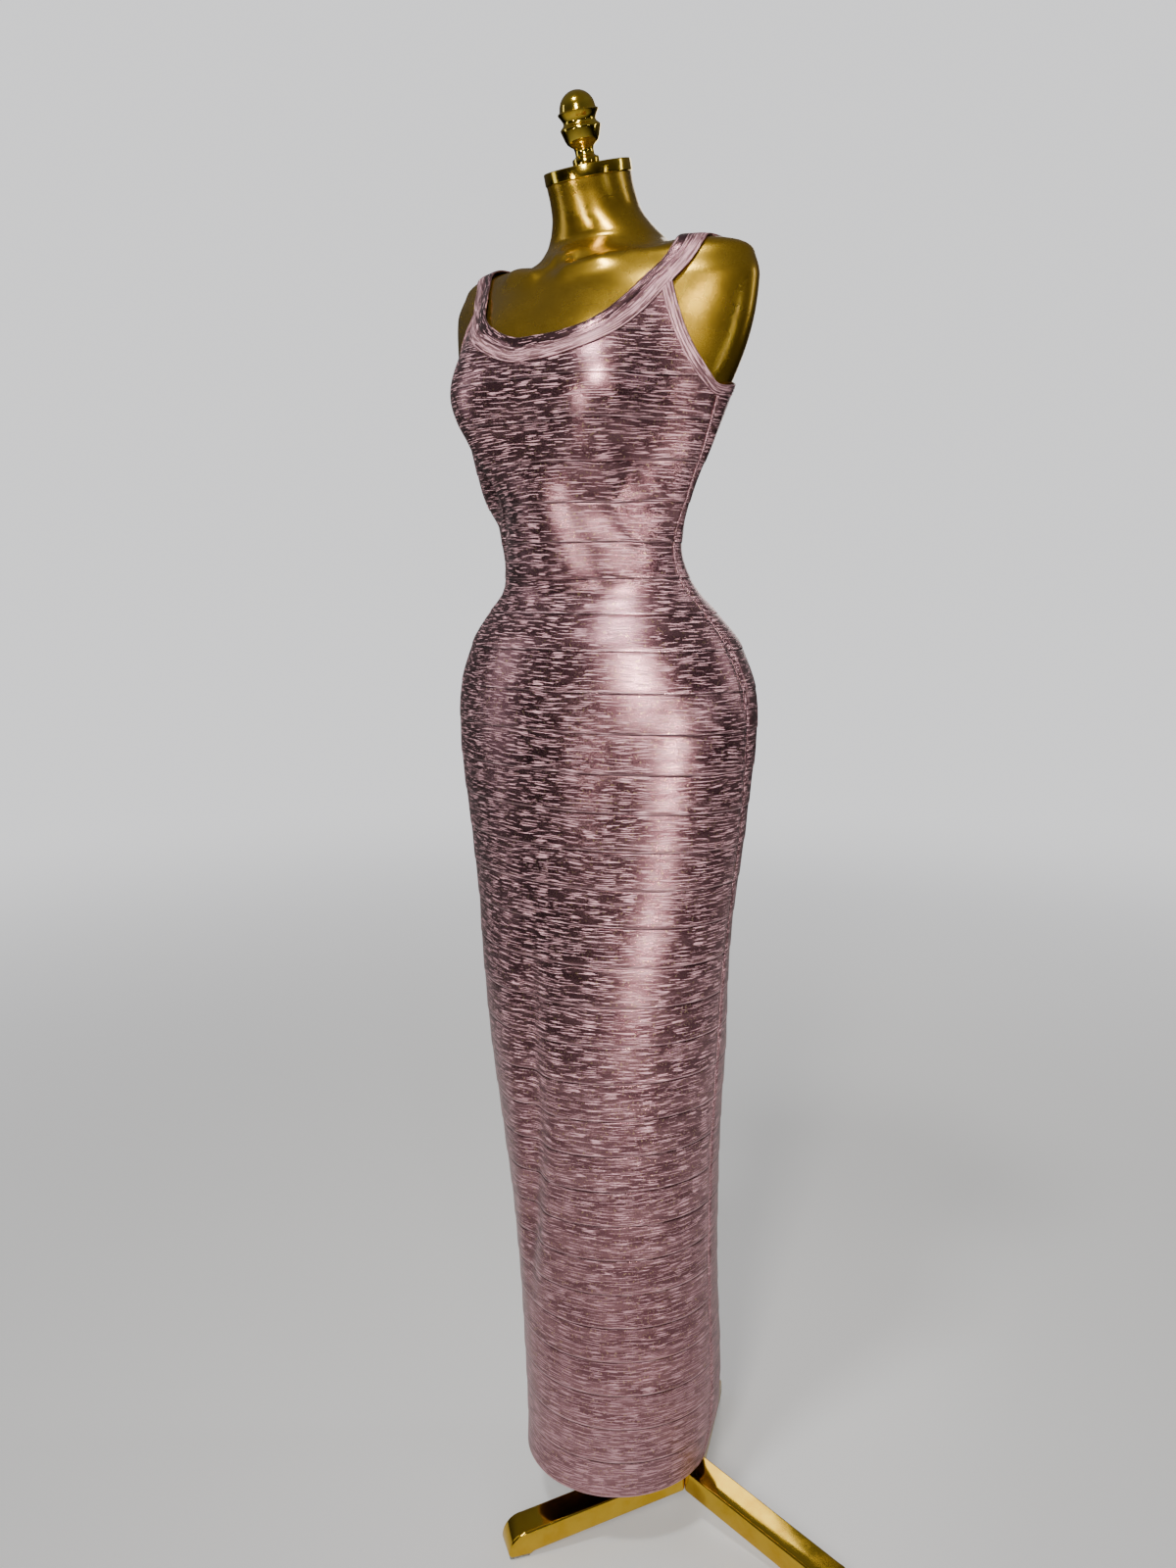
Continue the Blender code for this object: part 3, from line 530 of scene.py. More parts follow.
def bone_relief(angle, height):
    """Collarbones with a hollow over each, the notch between them and the breastbone's dip,
    each over its own range of degrees from the middle of the front."""
    turn = abs(math.degrees(math.remainder(angle, math.tau)))
    ridge = COLLAR_HEIGHT + COLLAR_RISE * fade(turn, 8, 60)
    bone = COLLAR_DEPTH * (1 - fade(turn, 40, 58)) * hump(height, ridge, COLLAR_SPREAD)
    above = hump(height, ridge + HOLLOW_ABOVE, HOLLOW_SPREAD)
    hollow = HOLLOW_DEPTH * (1 - fade(turn, 62, 82)) * above
    notch = NOTCH_DEPTH * hump(turn, 0, 8) * hump(height, NOTCH_HEIGHT, NOTCH_SPREAD)
    breast = BREAST_DEPTH * hump(turn, 0, 13) * hump(height, BREAST_HEIGHT, BREAST_SPREAD)
    return fade(turn, 4, 18) * (bone - hollow) - notch - breast


lacquer = Finish("gold_lacquer")
spray = lacquer.cloud(lacquer.place(), 1400.0, 2.0, 0.6)
mottle = lacquer.cloud(lacquer.place(), 22.0, 4.0, 0.55)
lacquer.set(
    Base_Color=lacquer.blend(
        lacquer.ease(spray, 0.35, 0.68),
        lacquer.blend(mottle, (0.29, 0.16, 0.0065, 1.0), (0.37, 0.215, 0.011, 1.0)),
        (0.52, 0.335, 0.038, 1.0),
    ),
    Roughness=lacquer.ease(mottle, 0.3, 0.7, 0.225, 0.295),
    Metallic=0.92,
    Coat_Weight=0.16,
    Coat_Roughness=0.07,
)
lacquer.relief(spray, 0.00006, 0.5)
bm = bmesh.new()
bmesh.ops.create_grid(bm, x_segments=FORM_COLUMNS, y_segments=FORM_ROWS, size=0.5)
for vert in bm.verts:
    turn = math.tau * round((vert.co.x + 0.5) * FORM_COLUMNS) / FORM_COLUMNS
    share = vert.co.y + 0.5
    height = FORM_BASE + (NECK_TOP - FORM_BASE) * share
    lean = min(max((height - LEAN_START) / (NECK_TOP - LEAN_START), 0.0), 1.0)
    above = max((height - UNDERARM) / EASE_RISE + 1.0, 0.0)
    bared = min(above, 1.0, (NECK_TOP - height) / EASE_FALL)
    spot = surface_point(turn, height, FORM_SIDE, bone_relief(turn, height) - FORM_EASE * bared)
    spot.z += math.tan(NECK_LEAN) * lean * (spot.y - section_at(height)[CENTRE_Y])
    vert.co = spot - BOX_MIDDLE
bmesh.ops.remove_doubles(bm, verts=bm.verts, dist=0.00002)
ends = [e for e in bm.edges if e.is_boundary]
bmesh.ops.holes_fill(bm, edges=ends, sides=0)
bmesh.ops.recalc_face_normals(bm, faces=bm.faces)
form = show(bm, "form_shell", lacquer, "gold_lacquer", "form_torso")
form.data.set_sharp_from_angle(angle=math.radians(50))


# NECK CAP AND FINIAL. A plated disc closes the neck, and a turned finial is screwed into its
# middle: a dome on a sharp flange, a waist, a second rim, a bowl, a stem and a ring foot.
CAP_RADIUS = 0.0447
CAP_THICKNESS = 0.012
CAP_EDGE = 0.0012
CAP_SEAT = 0.0003
FINIAL_HEIGHT = 0.069
FINIAL_DOME = 0.0182
DOME_STEPS = 14
FINIAL_TURNS = 96
FINIAL_PROFILE = (
    # radius, height over the cap
    (0.0186, 0.0505),
    (0.0200, 0.0500),
    (0.0207, 0.0490),
    (0.0203, 0.0478),
    (0.0182, 0.0446),
    (0.0168, 0.0418),
    (0.0165, 0.0400),
    (0.0172, 0.0384),
    (0.0194, 0.0364),
    (0.0205, 0.0350),
    (0.0203, 0.0336),
    (0.0190, 0.0296),
    (0.0176, 0.0252),
    (0.0158, 0.0214),
    (0.0128, 0.0188),
    (0.0104, 0.0172),
    (0.0097, 0.0140),
    (0.0097, 0.0096),
    (0.0112, 0.0082),
    (0.0133, 0.0074),
    (0.0139, 0.0058),
    (0.0137, 0.0010),
    (0.0132, 0.0000),
)
cap_gold = plated_gold("plated_gold_cap", (0.92, 0.68, 0.090, 1.0), 0.10, 0.18)
neck_foot = Vector((0.0, section_at(NECK_TOP)[CENTRE_Y], NECK_TOP)) - BOX_MIDDLE
neck_tilt = Matrix.Translation(neck_foot) @ Matrix.Rotation(NECK_LEAN, 4, "X")
bm = bmesh.new()
bmesh.ops.create_cone(
    bm,
    cap_ends=True,
    segments=144,
    radius1=CAP_RADIUS,
    radius2=CAP_RADIUS,
    depth=CAP_THICKNESS,
    matrix=Matrix.Translation((0.0, 0.0, CAP_SEAT + CAP_THICKNESS / 2)),
)
round_over(bm, edges_sharper_than(bm, 60), CAP_EDGE, 4)
cap = show(bm, "neck_disc", cap_gold, "polished_gold", "neck_cap", matrix=neck_tilt)
cap.data.set_sharp_from_angle(angle=math.radians(30))

bm = bmesh.new()
dome_centre = FINIAL_HEIGHT - FINIAL_DOME
dome = [math.pi / 2 * i / DOME_STEPS for i in range(DOME_STEPS)]
profile = [(FINIAL_DOME * math.sin(a), dome_centre + FINIAL_DOME * math.cos(a)) for a in dome]
profile += FINIAL_PROFILE
profile.append((0.0, 0.0))
line = [bm.verts.new((radius, 0.0, height)) for radius, height in profile]
rail = [bm.edges.new(pair) for pair in zip(line, line[1:])]
bmesh.ops.spin(
    bm,
    geom=line + rail,
    cent=(0.0, 0.0, 0.0),
    axis=(0.0, 0.0, 1.0),
    angle=math.tau,
    steps=FINIAL_TURNS,
    use_merge=True,
)
bmesh.ops.remove_doubles(bm, verts=bm.verts, dist=0.00001)
bmesh.ops.recalc_face_normals(bm, faces=bm.faces)
seat = neck_tilt @ Matrix.Translation((0.0, 0.0, CAP_THICKNESS + 2 * CAP_SEAT))
finial = show(bm, "turned_finial", cap_gold, "polished_gold", "finial", matrix=seat)
finial.data.set_sharp_from_angle(angle=math.radians(48))


# DRESS, FRONT AND BACK. Two panels of bandage knit: level bands of stretch rayon, each lapped
# over the one below, pressed with metallic foil that breaks into fine level dashes of bare yarn.
WALL = 0.0015
EASE = 0.0008
HEM = 0.080
# The rows of a panel are level up to this height and bend towards its top edge above. No row
# comes nearer than the gap below it.
LEVEL_TOP = 1.268
LEVEL_GAP = 0.0015
# A band's lower edge stands out by the lip: by the first share of it right at the edge and by
# both a little above, then less and less up the band. A groove runs just below the next edge.
# Between the last two heights the laps die out.
LIP = 0.0006
LIP_EDGE, LIP_REST = 0.7, 0.3
LIP_RISE = (0.0, 0.001)
LIP_THIN = (0.002, 0.034)
GROOVE = 0.0002
GROOVE_FADE = (0.0004, 0.0012)
LAPS_END = (1.25, 1.268)
SEAM_GAP = 0.0003
PEAK = 1.386
# Of each edge: height in the middle, angles of its two peaks, and how its curves bend:
# the neck right and left of the middle, and the armhole
FRONT_CUT = (1.3236, math.radians(59), math.radians(68.5), 1.5, 3.1, 0.68)
BACK_CUT = (1.345, math.radians(50), math.radians(50), 2.5, 2.5, 0.58)
# How bare of foil the cloth is at its hem, up to these heights, and along its side seams,
# from this share of the way round to them
HEM_WORN = 0.50
HEM_WORN_HEIGHTS = (0.09, 0.30)
SIDE_WORN = 0.25
SIDE_WORN_SHARES = (0.80, 1.0)
# Each panel is cut from its own place in the print, this many metres along for each radian
# that its middle is turned from the front
PRINT_PER_RADIAN = 3.0
NECK_COLUMNS = 50
ARM_COLUMNS = 18
TOP_ROWS = 44
LOWEST_BANDS = 16
BAND_JOINS = (
    0.764, 0.804, 0.844, 0.884, 0.924, 0.9645, 1.004, 1.0445, 1.080, 1.117,
    1.153, 1.1915, 1.230, 1.268, 1.306, 1.345, 1.383, 1.421, 1.459,
)
JOINS = [HEM + (BAND_JOINS[0] - HEM) * i / LOWEST_BANDS for i in range(LOWEST_BANDS)]
JOINS += BAND_JOINS
# Rows of one band, from its lower edge up: metres above that edge, shares of the band's height,
# and metres below the next edge; and one row just above the hem
LIP_ROWS = (0.0, 0.0012, 0.0040)
MIDDLE_ROWS = (0.25, 0.5, 0.75)
GROOVE_ROWS = (0.0042, 0.0013, 0.0005)
HEM_ROW = 0.0006
# Two pulls slant down from below the bust, each a ridge with a trough outside it: degrees from
# the middle at a height, degrees more for each metre down, metres out, and degrees wide; then
# the heights where it starts and is full, and where it begins to end and is gone
RIDGE = (43.2, 1.226, 341, 0.0027, 6.5, 1.125, 1.16, 1.215, 1.25)
TROUGH = (53.5, 1.2528, 346, -0.0034, 7.5, 1.13, 1.17, 1.235, 1.275)
# The soft upright valley between the thighs, which swings aside as it goes down
VALLEY_DEPTH = 0.0095
VALLEY_SPREAD = 8.0
VALLEY_TURN = -4
VALLEY_SWING = 20
VALLEY_SWING_HEIGHTS = (0.28, 0.56)
VALLEY_START = (0.26, 0.42)
VALLEY_END = (0.66, 0.762)
# The cloth is never quite even. It drifts in and out by so many metres, broadly and more finely,
# so often round the body and up it, and the finer drift that many times as often.
BROAD_DRIFT, FINE_DRIFT = 0.00045, 0.0002
DRIFTS_ROUND, DRIFTS_UP, FINER = 1.6, 9, 2.7
# Degrees from the middle of the front to a side seam at the top, and how many more it has
# gained below, between the two heights
SEAM_TURN, SEAM_BACK = 87, 11
SEAM_BACK_FROM, SEAM_BACK_TO = 1.15, 0.66


def seam_angle(height):
    back = fade(-height, -SEAM_BACK_FROM, -SEAM_BACK_TO)
    return math.radians(SEAM_TURN + SEAM_BACK * back)


def band_count(height):
    """How many bands lie below this height, with the share of the band that it is in."""
    i = 0
    while i < len(JOINS) - 2 and JOINS[i + 1] <= height + 1e-7:
        i += 1
    return i + (height - JOINS[i]) / (JOINS[i + 1] - JOINS[i])


def slanting_pull(side, height, pull):
    turn, at_height, slant, out, spread, low, full, wane, gone = pull
    centre = turn + (at_height - height) * slant
    ends = fade(height, low, full), 1 - fade(height, wane, gone)
    return out * hump(side, centre, spread) * ends[0] * ends[1]


def cloth_relief(angle, height):
    """The laps of the bands, and the soft pulls and hollows of the cloth over the body."""
    turn = math.degrees(math.remainder(angle, math.tau))
    i = int(band_count(height))
    above = height - JOINS[i]
    below = JOINS[i + 1] - height
    lap = LIP * (LIP_EDGE + LIP_REST * fade(above, *LIP_RISE)) * (1 - fade(above, *LIP_THIN))
    lap -= GROOVE * (1 - fade(below, *GROOVE_FADE))
    lap *= 1 - fade(height, *LAPS_END)
    side = abs(turn)
    pulls = slanting_pull(side, height, RIDGE), slanting_pull(side, height, TROUGH)
    swing = VALLEY_TURN - VALLEY_SWING * (1 - fade(height, *VALLEY_SWING_HEIGHTS))
    valley = VALLEY_DEPTH * hump(turn, swing, VALLEY_SPREAD) * fade(height, *VALLEY_START)
    valley *= 1 - fade(height, *VALLEY_END)
    round_it = math.sin(angle) * DRIFTS_ROUND, math.cos(angle) * DRIFTS_ROUND
    place = Vector((*round_it, height * DRIFTS_UP))
    drift = BROAD_DRIFT * noise.noise(place) + FINE_DRIFT * noise.noise(place * FINER)
    return lap + pulls[0] + pulls[1] - valley + drift


def cloth_point(angle, height, out=0.0):
    """A point of the cloth's plain inside, or this far outside it."""
    return surface_point(angle, height, CLOTH_SIDE, EASE + out)


class Panel:
    """Front or back of the dress. Its columns are shares, -1 and 1 at the side seams."""

    def __init__(self, middle, cut):
        self.middle = middle
        self.neck_height, low_peak, high_peak, self.low_curve, self.high_curve, self.arm_curve = cut
        self.low_peak = low_peak / self.half_angle(UNDERARM)
        self.high_peak = high_peak / self.half_angle(UNDERARM)

    def half_angle(self, height):
        return math.pi - seam_angle(height) if self.middle else seam_angle(height)

    def columns(self, neck_columns, arm_columns):
        """Shares of the columns, close together where the armhole is steep."""
        shares = []
        for i in range(-neck_columns, neck_columns + 1):
            shares.append(i / neck_columns * (self.high_peak if i > 0 else self.low_peak))
        for i in range(1, arm_columns + 1):
            along = (i / arm_columns) ** 2
            shares.append(self.high_peak + (1 - self.high_peak) * along)
            shares.insert(0, -self.low_peak - (1 - self.low_peak) * along)
        return shares

    def top(self, share):
        """Height of the edge: the neck's scoop between the peaks, an armhole outside them."""
        peak = self.high_peak if share > 0 else self.low_peak
        if abs(share) <= peak + 1e-9:
            curve = self.high_curve if share > 0 else self.low_curve
            return self.neck_height + (PEAK - self.neck_height) * (abs(share) / peak) ** curve
        along = (abs(share) - peak) / (1 - peak)
        left_over = max(1 - along**self.arm_curve, 0.0) ** (1 / self.arm_curve)
        return UNDERARM + (PEAK - UNDERARM) * left_over

    def angle(self, share, height):
        half = self.half_angle(height) - SEAM_GAP / 2 / section_at(height)[HALF_WIDTH]
        return self.middle + share * half

    def edge(self, share):
        height = self.top(share)
        return cloth_point(self.angle(share, height), height)


front_panel = Panel(0.0, FRONT_CUT)
back_panel = Panel(math.pi, BACK_CUT)


def foil_knit_finish():
    """Dark rosy foil over pale pink yarn, which shows in level dashes and at the hem. A pale
    highlight is painted along each band's lapped lower edge, and dark shade just under it.
    """
    finish = Finish("foil_knit")
    print_map = finish.node("ShaderNodeUVMap", uv_map="cloth").outputs[0]
    split = finish.node("ShaderNodeSeparateXYZ")
    finish.feed(split.inputs[0], print_map)
    u, v = split.outputs[0], split.outputs[1]
    band_map = finish.node("ShaderNodeUVMap", uv_map="bands").outputs[0]
    band_split = finish.node("ShaderNodeSeparateXYZ")
    finish.feed(band_split.inputs[0], band_map)
    in_band = finish.math("FRACT", band_split.outputs[1])
    bare = finish.node("ShaderNodeAttribute", attribute_name="bare").outputs["Fac"]

    def stretched(across, along, at=v):
        return finish.point(
            finish.math("MULTIPLY", u, across), finish.math("MULTIPLY", at, along)
        )

    # Each cloud has so many cells to the metre round the body, and so many up it.
    sway = finish.cloud(stretched(11.0, 26.0), 1.0, 1.0, flat=True)
    waved = finish.math("ADD", v, finish.math("MULTIPLY", sway, 0.0075))
    lines = finish.cloud(stretched(52.0, 980.0, waved), 1.0, 0.0, 0.5, flat=True)
    bunches = finish.cloud(stretched(30.0, 330.0, waved), 1.0, 0.0, 0.5, flat=True)
    breaks = finish.cloud(stretched(170.0, 1100.0, waved), 1.0, 0.0, 0.5, flat=True)
    threads = finish.cloud(stretched(420.0, 1900.0, waved), 1.0, 0.0, 0.5, flat=True)
    patches = finish.cloud(stretched(13.0, 70.0), 1.0, 2.0, flat=True)
    shares = ((bunches, 0.28), (breaks, 0.22), (threads, 0.14), (patches, 0.05), (bare, 0.13))
    cracks = lines
    for layer, share in shares:
        cracks = finish.math("ADD", cracks, finish.math("MULTIPLY", layer, share))
    dash = finish.ease(cracks, 0.990, 1.035)
    grain = finish.cloud(stretched(900.0, 1500.0), 1.0, 2.0, 0.6, flat=True)
    sparkle = finish.cloud(finish.place(), 1500.0, 2.0, 0.7)
    tint = finish.cloud(finish.place(), 420.0, 1.0)
    # Just below each join, under the next band's lapped edge: this strip is painted dark as the
    # shade there, and it also grooves the bump
    join_groove_painted_shade = finish.ease(in_band, 0.950, 0.970)
    # Just above each join, on the band's proud lower edge: a pale line painted as a highlight
    painted_lap_highlight = finish.math("SUBTRACT", 1.0, finish.ease(in_band, 0.012, 0.055), clamp=True)

    foil = finish.blend(
        finish.ease(patches, 0.35, 0.65), (0.22, 0.100, 0.117, 1.0), (0.34, 0.168, 0.188, 1.0)
    )
    foil = finish.blend(finish.ease(tint, 0.62, 0.72), foil, (0.50, 0.32, 0.20, 1.0))
    foil = finish.blend(finish.math("MULTIPLY", bare, 0.55), foil, (0.30, 0.165, 0.185, 1.0))
    yarn = finish.blend(grain, (0.42, 0.215, 0.25, 1.0), (0.82, 0.47, 0.52, 1.0))
    colour = finish.blend(dash, foil, yarn)
    # Painted highlight: the lapped lower edge of each band is made paler
    colour = finish.blend(finish.math("MULTIPLY", painted_lap_highlight, 0.45), colour, (0.90, 0.55, 0.60, 1.0))
    # Painted shade: the strip under each lapped edge is darkened almost to black
    colour = finish.blend(finish.math("MULTIPLY", join_groove_painted_shade, 0.70), colour, (0.06, 0.025, 0.03, 1.0))
    metal = finish.math("MULTIPLY_ADD", dash, -0.85, 1.0)
    metal = finish.math("MULTIPLY", metal, finish.ease(bare, 0.0, 1.0, 1.0, 0.45))
    shine = finish.math("MULTIPLY_ADD", grain, 0.16, 0.21)
    shine = finish.math("ADD", shine, finish.math("MULTIPLY", dash, 0.20))
    shine = finish.math("ADD", shine, finish.math("MULTIPLY", bare, 0.12))
    finish.set(
        Base_Color=colour,
        Metallic=metal,
        Roughness=shine,
        Sheen_Weight=0.06,
        Sheen_Roughness=0.45,
        Sheen_Tint=(1.0, 0.80, 0.84, 1.0),
    )
    height = finish.math("MULTIPLY_ADD", sparkle, 0.55, finish.math("MULTIPLY", dash, 0.35))
    height = finish.math("ADD", height, finish.math("MULTIPLY", threads, 0.5))
    height = finish.math("SUBTRACT", height, finish.math("MULTIPLY", join_groove_painted_shade, 1.2))
    finish.relief(height, 0.00016, 0.8)
    return finish


foil_knit = foil_knit_finish()
CHEST_CORE = Vector((0.0, 0.012, 1.30))
UPRIGHT_SHARE = 0.02


def cloth_grid(columns, rows, spot, name, wall, *nodes, closed=False):
    """A sheet of the knit, from spot(i, j): a point, its place in the print in metres, its band
    count and how bare of foil it is. Its wall is laid on the inside."""
    bm = bmesh.new()
    bmesh.ops.create_grid(bm, x_segments=columns, y_segments=rows, size=0.5)
    bare_layer = bm.verts.layers.float.new("bare")
    cloth_map = bm.loops.layers.uv.new("cloth")
    band_map = bm.loops.layers.uv.new("bands")
    spots = {}
    for vert in bm.verts:
        i = round((vert.co.x + 0.5) * columns)
        j = round((vert.co.y + 0.5) * rows)
        spots[vert] = spot(i, j)
    for face in bm.faces:
        for loop in face.loops:
            _, print_place, bands, _ = spots[loop.vert]
            loop[cloth_map].uv = print_place
            loop[band_map].uv = (print_place[0], bands)
    for vert, (at, _, _, worn) in spots.items():
        vert.co = at - BOX_MIDDLE
        vert[bare_layer] = worn
    if closed:
        ends = [v for v in bm.verts if v.is_boundary]
        bmesh.ops.remove_doubles(bm, verts=ends, dist=0.00001)
    bm.normal_update()
    # The sheet has to face out, and on so tall a body almost only the level way out counts.
    middle = CHEST_CORE - BOX_MIDDLE
    facing = 0.0
    for face in bm.faces:
        away = face.calc_center_median() - middle
        away.z *= UPRIGHT_SHARE
        facing += face.normal.dot(away) * face.calc_area()
    if facing < 0:
        bmesh.ops.reverse_faces(bm, faces=bm.faces)
    piece = show(bm, name, foil_knit, "foil_knit", *nodes)
    thicken = piece.modifiers.new("wall", "SOLIDIFY")
    thicken.thickness = wall
    thicken.offset = -1.0
    thicken.use_even_offset = True
    return piece


def row_heights():
    """Heights of the level rows, close together at each lap."""
    heights = [HEM, HEM + HEM_ROW]
    for low, high in zip(JOINS, JOINS[1:]):
        span = high - low
        heights += [low + rise for rise in LIP_ROWS]
        heights += [low + span * share for share in MIDDLE_ROWS]
        heights += [high - drop for drop in GROOVE_ROWS]
    top = LEVEL_TOP - LEVEL_GAP
    return sorted({round(height, 6) for height in heights if HEM <= height < top})


LEVELS = row_heights()


def panel_piece(panel, name, node):
    shares = panel.columns(NECK_COLUMNS, ARM_COLUMNS)
    middle_column = len(shares) // 2
    tops = [panel.top(share) for share in shares]
    rows = len(LEVELS) + TOP_ROWS
    places = {}
    for j in range(rows + 1):
        line = []
        for share, top in zip(shares, tops):
            if j < len(LEVELS):
                height = LEVELS[j]
            else:
                height = LEVEL_TOP + (top - LEVEL_TOP) * (j - len(LEVELS)) / TOP_ROWS
            angle = panel.angle(share, height)
            at = cloth_point(angle, height, WALL + cloth_relief(angle, height))
            line.append((at, height, angle))
        around = [0.0]
        for (one, _, _), (two, _, _) in zip(line, line[1:]):
            around.append(around[-1] + math.hypot(two.x - one.x, two.y - one.y))
        for i, (at, height, angle) in enumerate(line):
            hem_worn = HEM_WORN * (1 - fade(height, *HEM_WORN_HEIGHTS))
            side_worn = SIDE_WORN * fade(abs(shares[i]), *SIDE_WORN_SHARES)
            along = around[i] - around[middle_column] + PRINT_PER_RADIAN * panel.middle
            worn = min(hem_worn + side_worn, 1.0)
            places[i, j] = (at, (along, height), band_count(height), worn)
    return cloth_grid(len(shares) - 1, rows, lambda i, j: places[i, j], name, WALL, node)


dress_front = panel_piece(front_panel, "front_panel", "dress_front")
dress_back = panel_piece(back_panel, "back_panel", "dress_back")


# NECK BAND AND ARMHOLE BINDINGS. The neck band is one doubled strip of the knit that also makes
# both straps; its inner half keeps the foil. A narrow ribbed binding closes each armhole.
NECK_BAND_WIDTH = 0.0225
ARM_BAND_WIDTH = 0.008
BAND_REST = 0.0008
BAND_WALL = 0.0014
STRAP_SETTLE = 0.0024
STRAP_HEIGHTS = (1.39, 1.42)
STRAP_STEPS = 14
EDGE_NECK_COLUMNS = (8, 6)
EDGE_ARM_COLUMNS = 5
SMOOTHING = 6
NECK_PRINT_START = 20.0
ARM_PRINT_START = 30.0
# The cloth is looked for between these two distances from the middle of the chest
NEAREST, FARTHEST = 0.03, 0.30
SEARCH_STEPS = 26
# A binding's end is cut slantwise along the strap that it meets. However long the slant, the cut
# is at most twice as long as the binding is wide.
LEAST_SQUARE = 0.5
# Three points that each strap passes on its way over the shoulder, from front to back
LEFT_STRAP = (
    Vector((0.1415, -0.0275, 1.4125)),
    Vector((0.1450, 0.0060, 1.4455)),
    Vector((0.1290, 0.0560, 1.4280)),
)
RIGHT_STRAP = (
    Vector((-0.1149, -0.0440, 1.4012)),
    Vector((-0.1370, -0.0060, 1.4390)),
    Vector((-0.1290, 0.0560, 1.4280)),
)
# Across a band from its sewn edge: metres, how far it stands up, and how bare of foil it is
NECK_BAND_PROFILE = (
    (-0.0024, 0.0000, 0.9), (-0.0020, 0.0006, 0.9), (-0.0010, 0.0009, 0.9), (0.0001, 0.0001, 0.0),
    (0.0010, 0.0009, 0.9), (0.0034, 0.0012, 0.85), (0.0066, 0.0012, 0.6), (0.0090, 0.0010, 0.3),
    (0.0098, 0.0003, 0.0), (0.0106, 0.0009, 0.5), (0.0116, 0.0009, 0.3), (0.0123, 0.0002, 0.0),
    (0.0132, 0.0008, -0.5), (0.0168, 0.0010, -0.6), (0.0200, 0.0008, -0.5), (0.0217, 0.0005, 0.0),
    (0.0225, -0.0003, 0.5),
)
ARM_BAND_PROFILE = (
    (-0.0020, 0.0000, 0.6), (-0.0016, 0.0006, 0.7), (-0.0008, 0.0008, 0.8), (0.0002, 0.0001, 0.2),
    (0.0011, 0.0008, 0.8), (0.0022, 0.0010, 0.8), (0.0031, 0.0003, 0.3), (0.0039, 0.0009, 0.8),
    (0.0050, 0.0009, 0.8), (0.0058, 0.0003, 0.3), (0.0065, 0.0007, 0.8), (0.0074, 0.0005, 0.7),
    (0.0080, -0.0002, 0.6),
)


def onto_cloth(point, out=0.0):
    """Where the line from the middle of the chest through this point meets the cloth's inside."""
    ray = (point - CHEST_CORE).normalized()
    near, far = NEAREST, FARTHEST
    for _ in range(SEARCH_STEPS):
        reach = (near + far) / 2
        at = CHEST_CORE + ray * reach
        flat = Vector((at.x, at.y - section_at(at.z)[CENTRE_Y]))
        turn = math.atan2(flat.x, -flat.y)
        inside = at.z < NECK_TOP and flat.length < radius_at(turn, at.z, CLOTH_SIDE)
        near, far = (reach, far) if inside else (near, reach)
    return CHEST_CORE + ray * (near + EASE + out)


def through(points, t):
    """A smooth curve through points, with a phantom point at each end of the list."""
    span, t = divmod(min(max(t, 0.0), len(points) - 3 - 1e-6), 1)
    before, low, high, after = points[int(span) : int(span) + 4]
    curve = low * 2 + (high - before) * t
    curve += (before * 2 - low * 5 + high * 4 - after) * t**2
    return (curve + (low * 3 - before - high * 3 + after) * t**3) / 2


def with_ends(points):
    return [points[0] * 2 - points[1], *points, points[-1] * 2 - points[-2]]


def strap_edge(front, strap, back):
    points = with_ends([front, *strap, back])
    spots = [(len(points) - 3) * i / STRAP_STEPS for i in range(1, STRAP_STEPS)]
    return [onto_cloth(through(points, spot), WALL) for spot in spots]


def across_edge(edge, i, closed):
    last = len(edge) - 1
    ahead = edge[(i + 1) % len(edge)] if closed or i < last else edge[i]
    behind = edge[i - 1] if closed or i > 0 else edge[i]
    return (edge[i] - CHEST_CORE).normalized().cross(ahead - behind).normalized()


def band_piece(name, edge, across, width, profile, closed, print_start, node):
    """A band along edge, laid across it towards across, with this profile."""
    if closed:
        edge = [edge[-1], *edge, edge[0], edge[1]]
        across = [across[-1], *across, across[0], across[1]]
    else:
        edge, across = with_ends(edge), with_ends(across)
    steps = (len(edge) - 3) * SMOOTHING
    line = [through(edge, i / SMOOTHING) for i in range(steps + 1)]
    reach = [through(across, i / SMOOTHING) for i in range(steps + 1)]
    along = [0.0]
    for one, two in zip(line, line[1:]):
        along.append(along[-1] + (two - one).length)

    def spot(i, j):
        across_it, stands, worn = profile[j]
        i = i % steps if closed else i
        at = line[i] + reach[i] * (across_it / width)
        settled = STRAP_SETTLE * fade(at.z, *STRAP_HEIGHTS)
        at = onto_cloth(at, BAND_REST + WALL + stands - settled)
        return at, (along[i] + print_start, across_it), 0.5, worn

    return cloth_grid(steps, len(profile) - 1, spot, name, BAND_WALL, node, closed=closed)


edge_shares = [
    panel.columns(count, EDGE_ARM_COLUMNS)
    for panel, count in zip((front_panel, back_panel), EDGE_NECK_COLUMNS)
]
front_edge, back_edge = (
    [panel.edge(share) for share in shares]
    for panel, shares in zip((front_panel, back_panel), edge_shares)
)
front_scoop = front_edge[EDGE_ARM_COLUMNS:-EDGE_ARM_COLUMNS]
back_scoop = back_edge[EDGE_ARM_COLUMNS:-EDGE_ARM_COLUMNS]
left_strap = strap_edge(front_scoop[-1], LEFT_STRAP, back_scoop[0])
right_strap = strap_edge(front_scoop[0], RIGHT_STRAP, back_scoop[-1])
neck_edge = front_scoop + left_strap + back_scoop + right_strap[::-1]
neck_across = [across_edge(neck_edge, i, True) * NECK_BAND_WIDTH for i in range(len(neck_edge))]
neck_band = band_piece(
    "neck_strip",
    neck_edge,
    neck_across,
    NECK_BAND_WIDTH,
    NECK_BAND_PROFILE,
    closed=True,
    print_start=NECK_PRINT_START,
    node="neck_band",
)
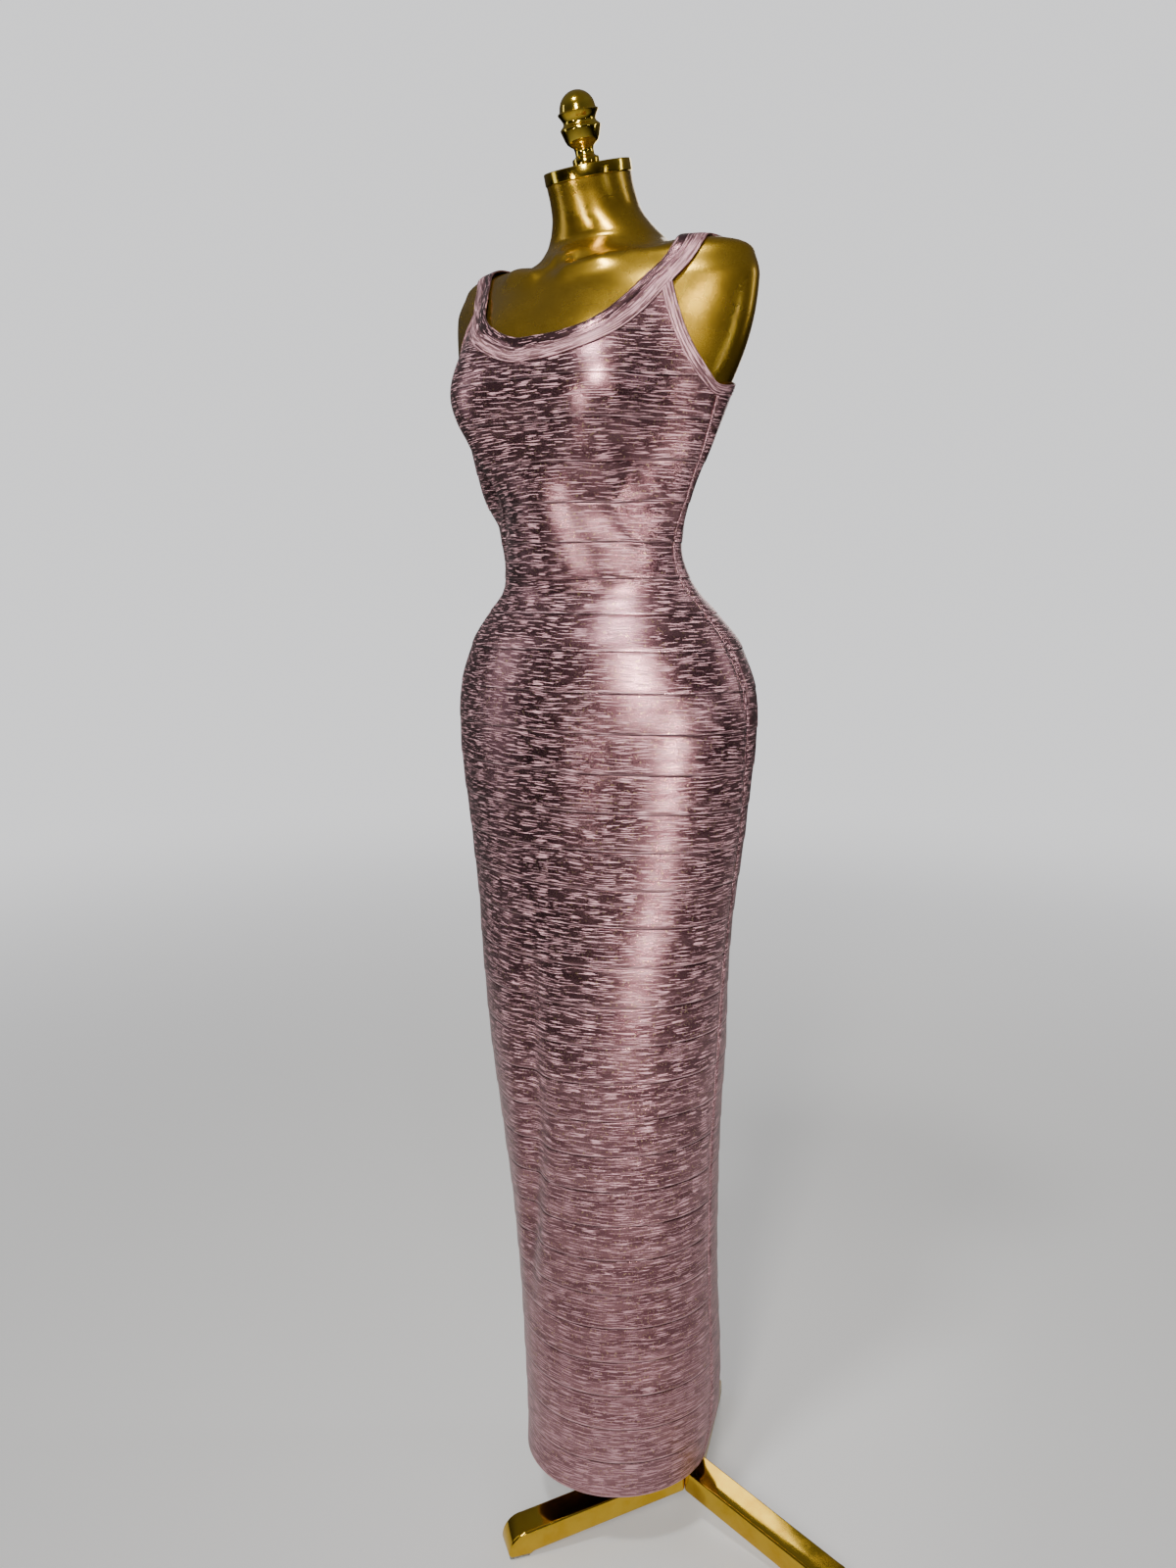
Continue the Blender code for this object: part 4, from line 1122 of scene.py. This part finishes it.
for left in (True, False):
    side_name = "left" if left else "right"
    if left:
        edge = front_edge[-EDGE_ARM_COLUMNS - 1 :] + back_edge[1 : EDGE_ARM_COLUMNS + 1]
        strap = left_strap
    else:
        edge = front_edge[EDGE_ARM_COLUMNS::-1] + back_edge[-2 : -EDGE_ARM_COLUMNS - 2 : -1]
        strap = right_strap
    reach = ARM_BAND_WIDTH if left else -ARM_BAND_WIDTH
    across = [across_edge(edge, i, False) * reach for i in range(len(edge))]
    for i, end in ((0, strap[0]), (-1, strap[-1])):
        along = (end - edge[i]).normalized()
        square = along.dot(across[i].normalized())
        across[i] = along * ARM_BAND_WIDTH / max(square, LEAST_SQUARE)
    band_piece(
            f"armhole_binding_{side_name}",
            edge,
            across,
            ARM_BAND_WIDTH,
            ARM_BAND_PROFILE,
            closed=False,
            print_start=ARM_PRINT_START,
            node=f"armhole_band_{side_name}",
        )


# SIDE SEAMS. Front and back are overlocked together, and the seam shows as a fine pale welt. Over
# the hips it is pulled flat and keeps its foil, so it hardly shows there.
SEAM_WIDTH = 0.0024
SEAM_WALL = 0.0006
SEAM_PRINT_START = 40.0
SEAM_ROWS = 300
SEAM_INSET = 0.001
# The seam comes to show upward between the first two heights and downward, less clearly,
# between the second two
SEAM_SHOWN_ABOVE = (1.06, 1.13)
SEAM_SHOWN_BELOW = (0.69, 0.74)
SEAM_SHOWN_LOW = 0.8
SEAM_WORN = 0.8
SEAM_PROFILE = ((-1.0, -0.0002), (-0.6, 0.0004), (0.0, 0.0006), (0.6, 0.0004), (1.0, -0.0002))
for side_name, hand in (("left", 1), ("right", -1)):

    def seam_spot(i, j, hand=hand):
        height = HEM + SEAM_INSET + (UNDERARM - 2 * SEAM_INSET - HEM) * j / SEAM_ROWS
        across_it, stands = SEAM_PROFILE[i]
        shown = fade(height, *SEAM_SHOWN_ABOVE)
        shown += SEAM_SHOWN_LOW * (1 - fade(height, *SEAM_SHOWN_BELOW))
        angle = seam_angle(height) * hand
        angle += across_it * SEAM_WIDTH / 2 / radius_at(angle, height, CLOTH_SIDE)
        if stands > 0:
            stands *= 0.5 + 0.5 * min(shown, 1.0)
        at = cloth_point(angle, height, WALL + stands + cloth_relief(angle, height))
        print_place = (across_it * SEAM_WIDTH / 2 + SEAM_PRINT_START, height)
        return at, print_place, 0.5, SEAM_WORN * shown

    name = f"seam_welt_{side_name}"
    cloth_grid(len(SEAM_PROFILE) - 1, SEAM_ROWS, seam_spot, name, SEAM_WALL)
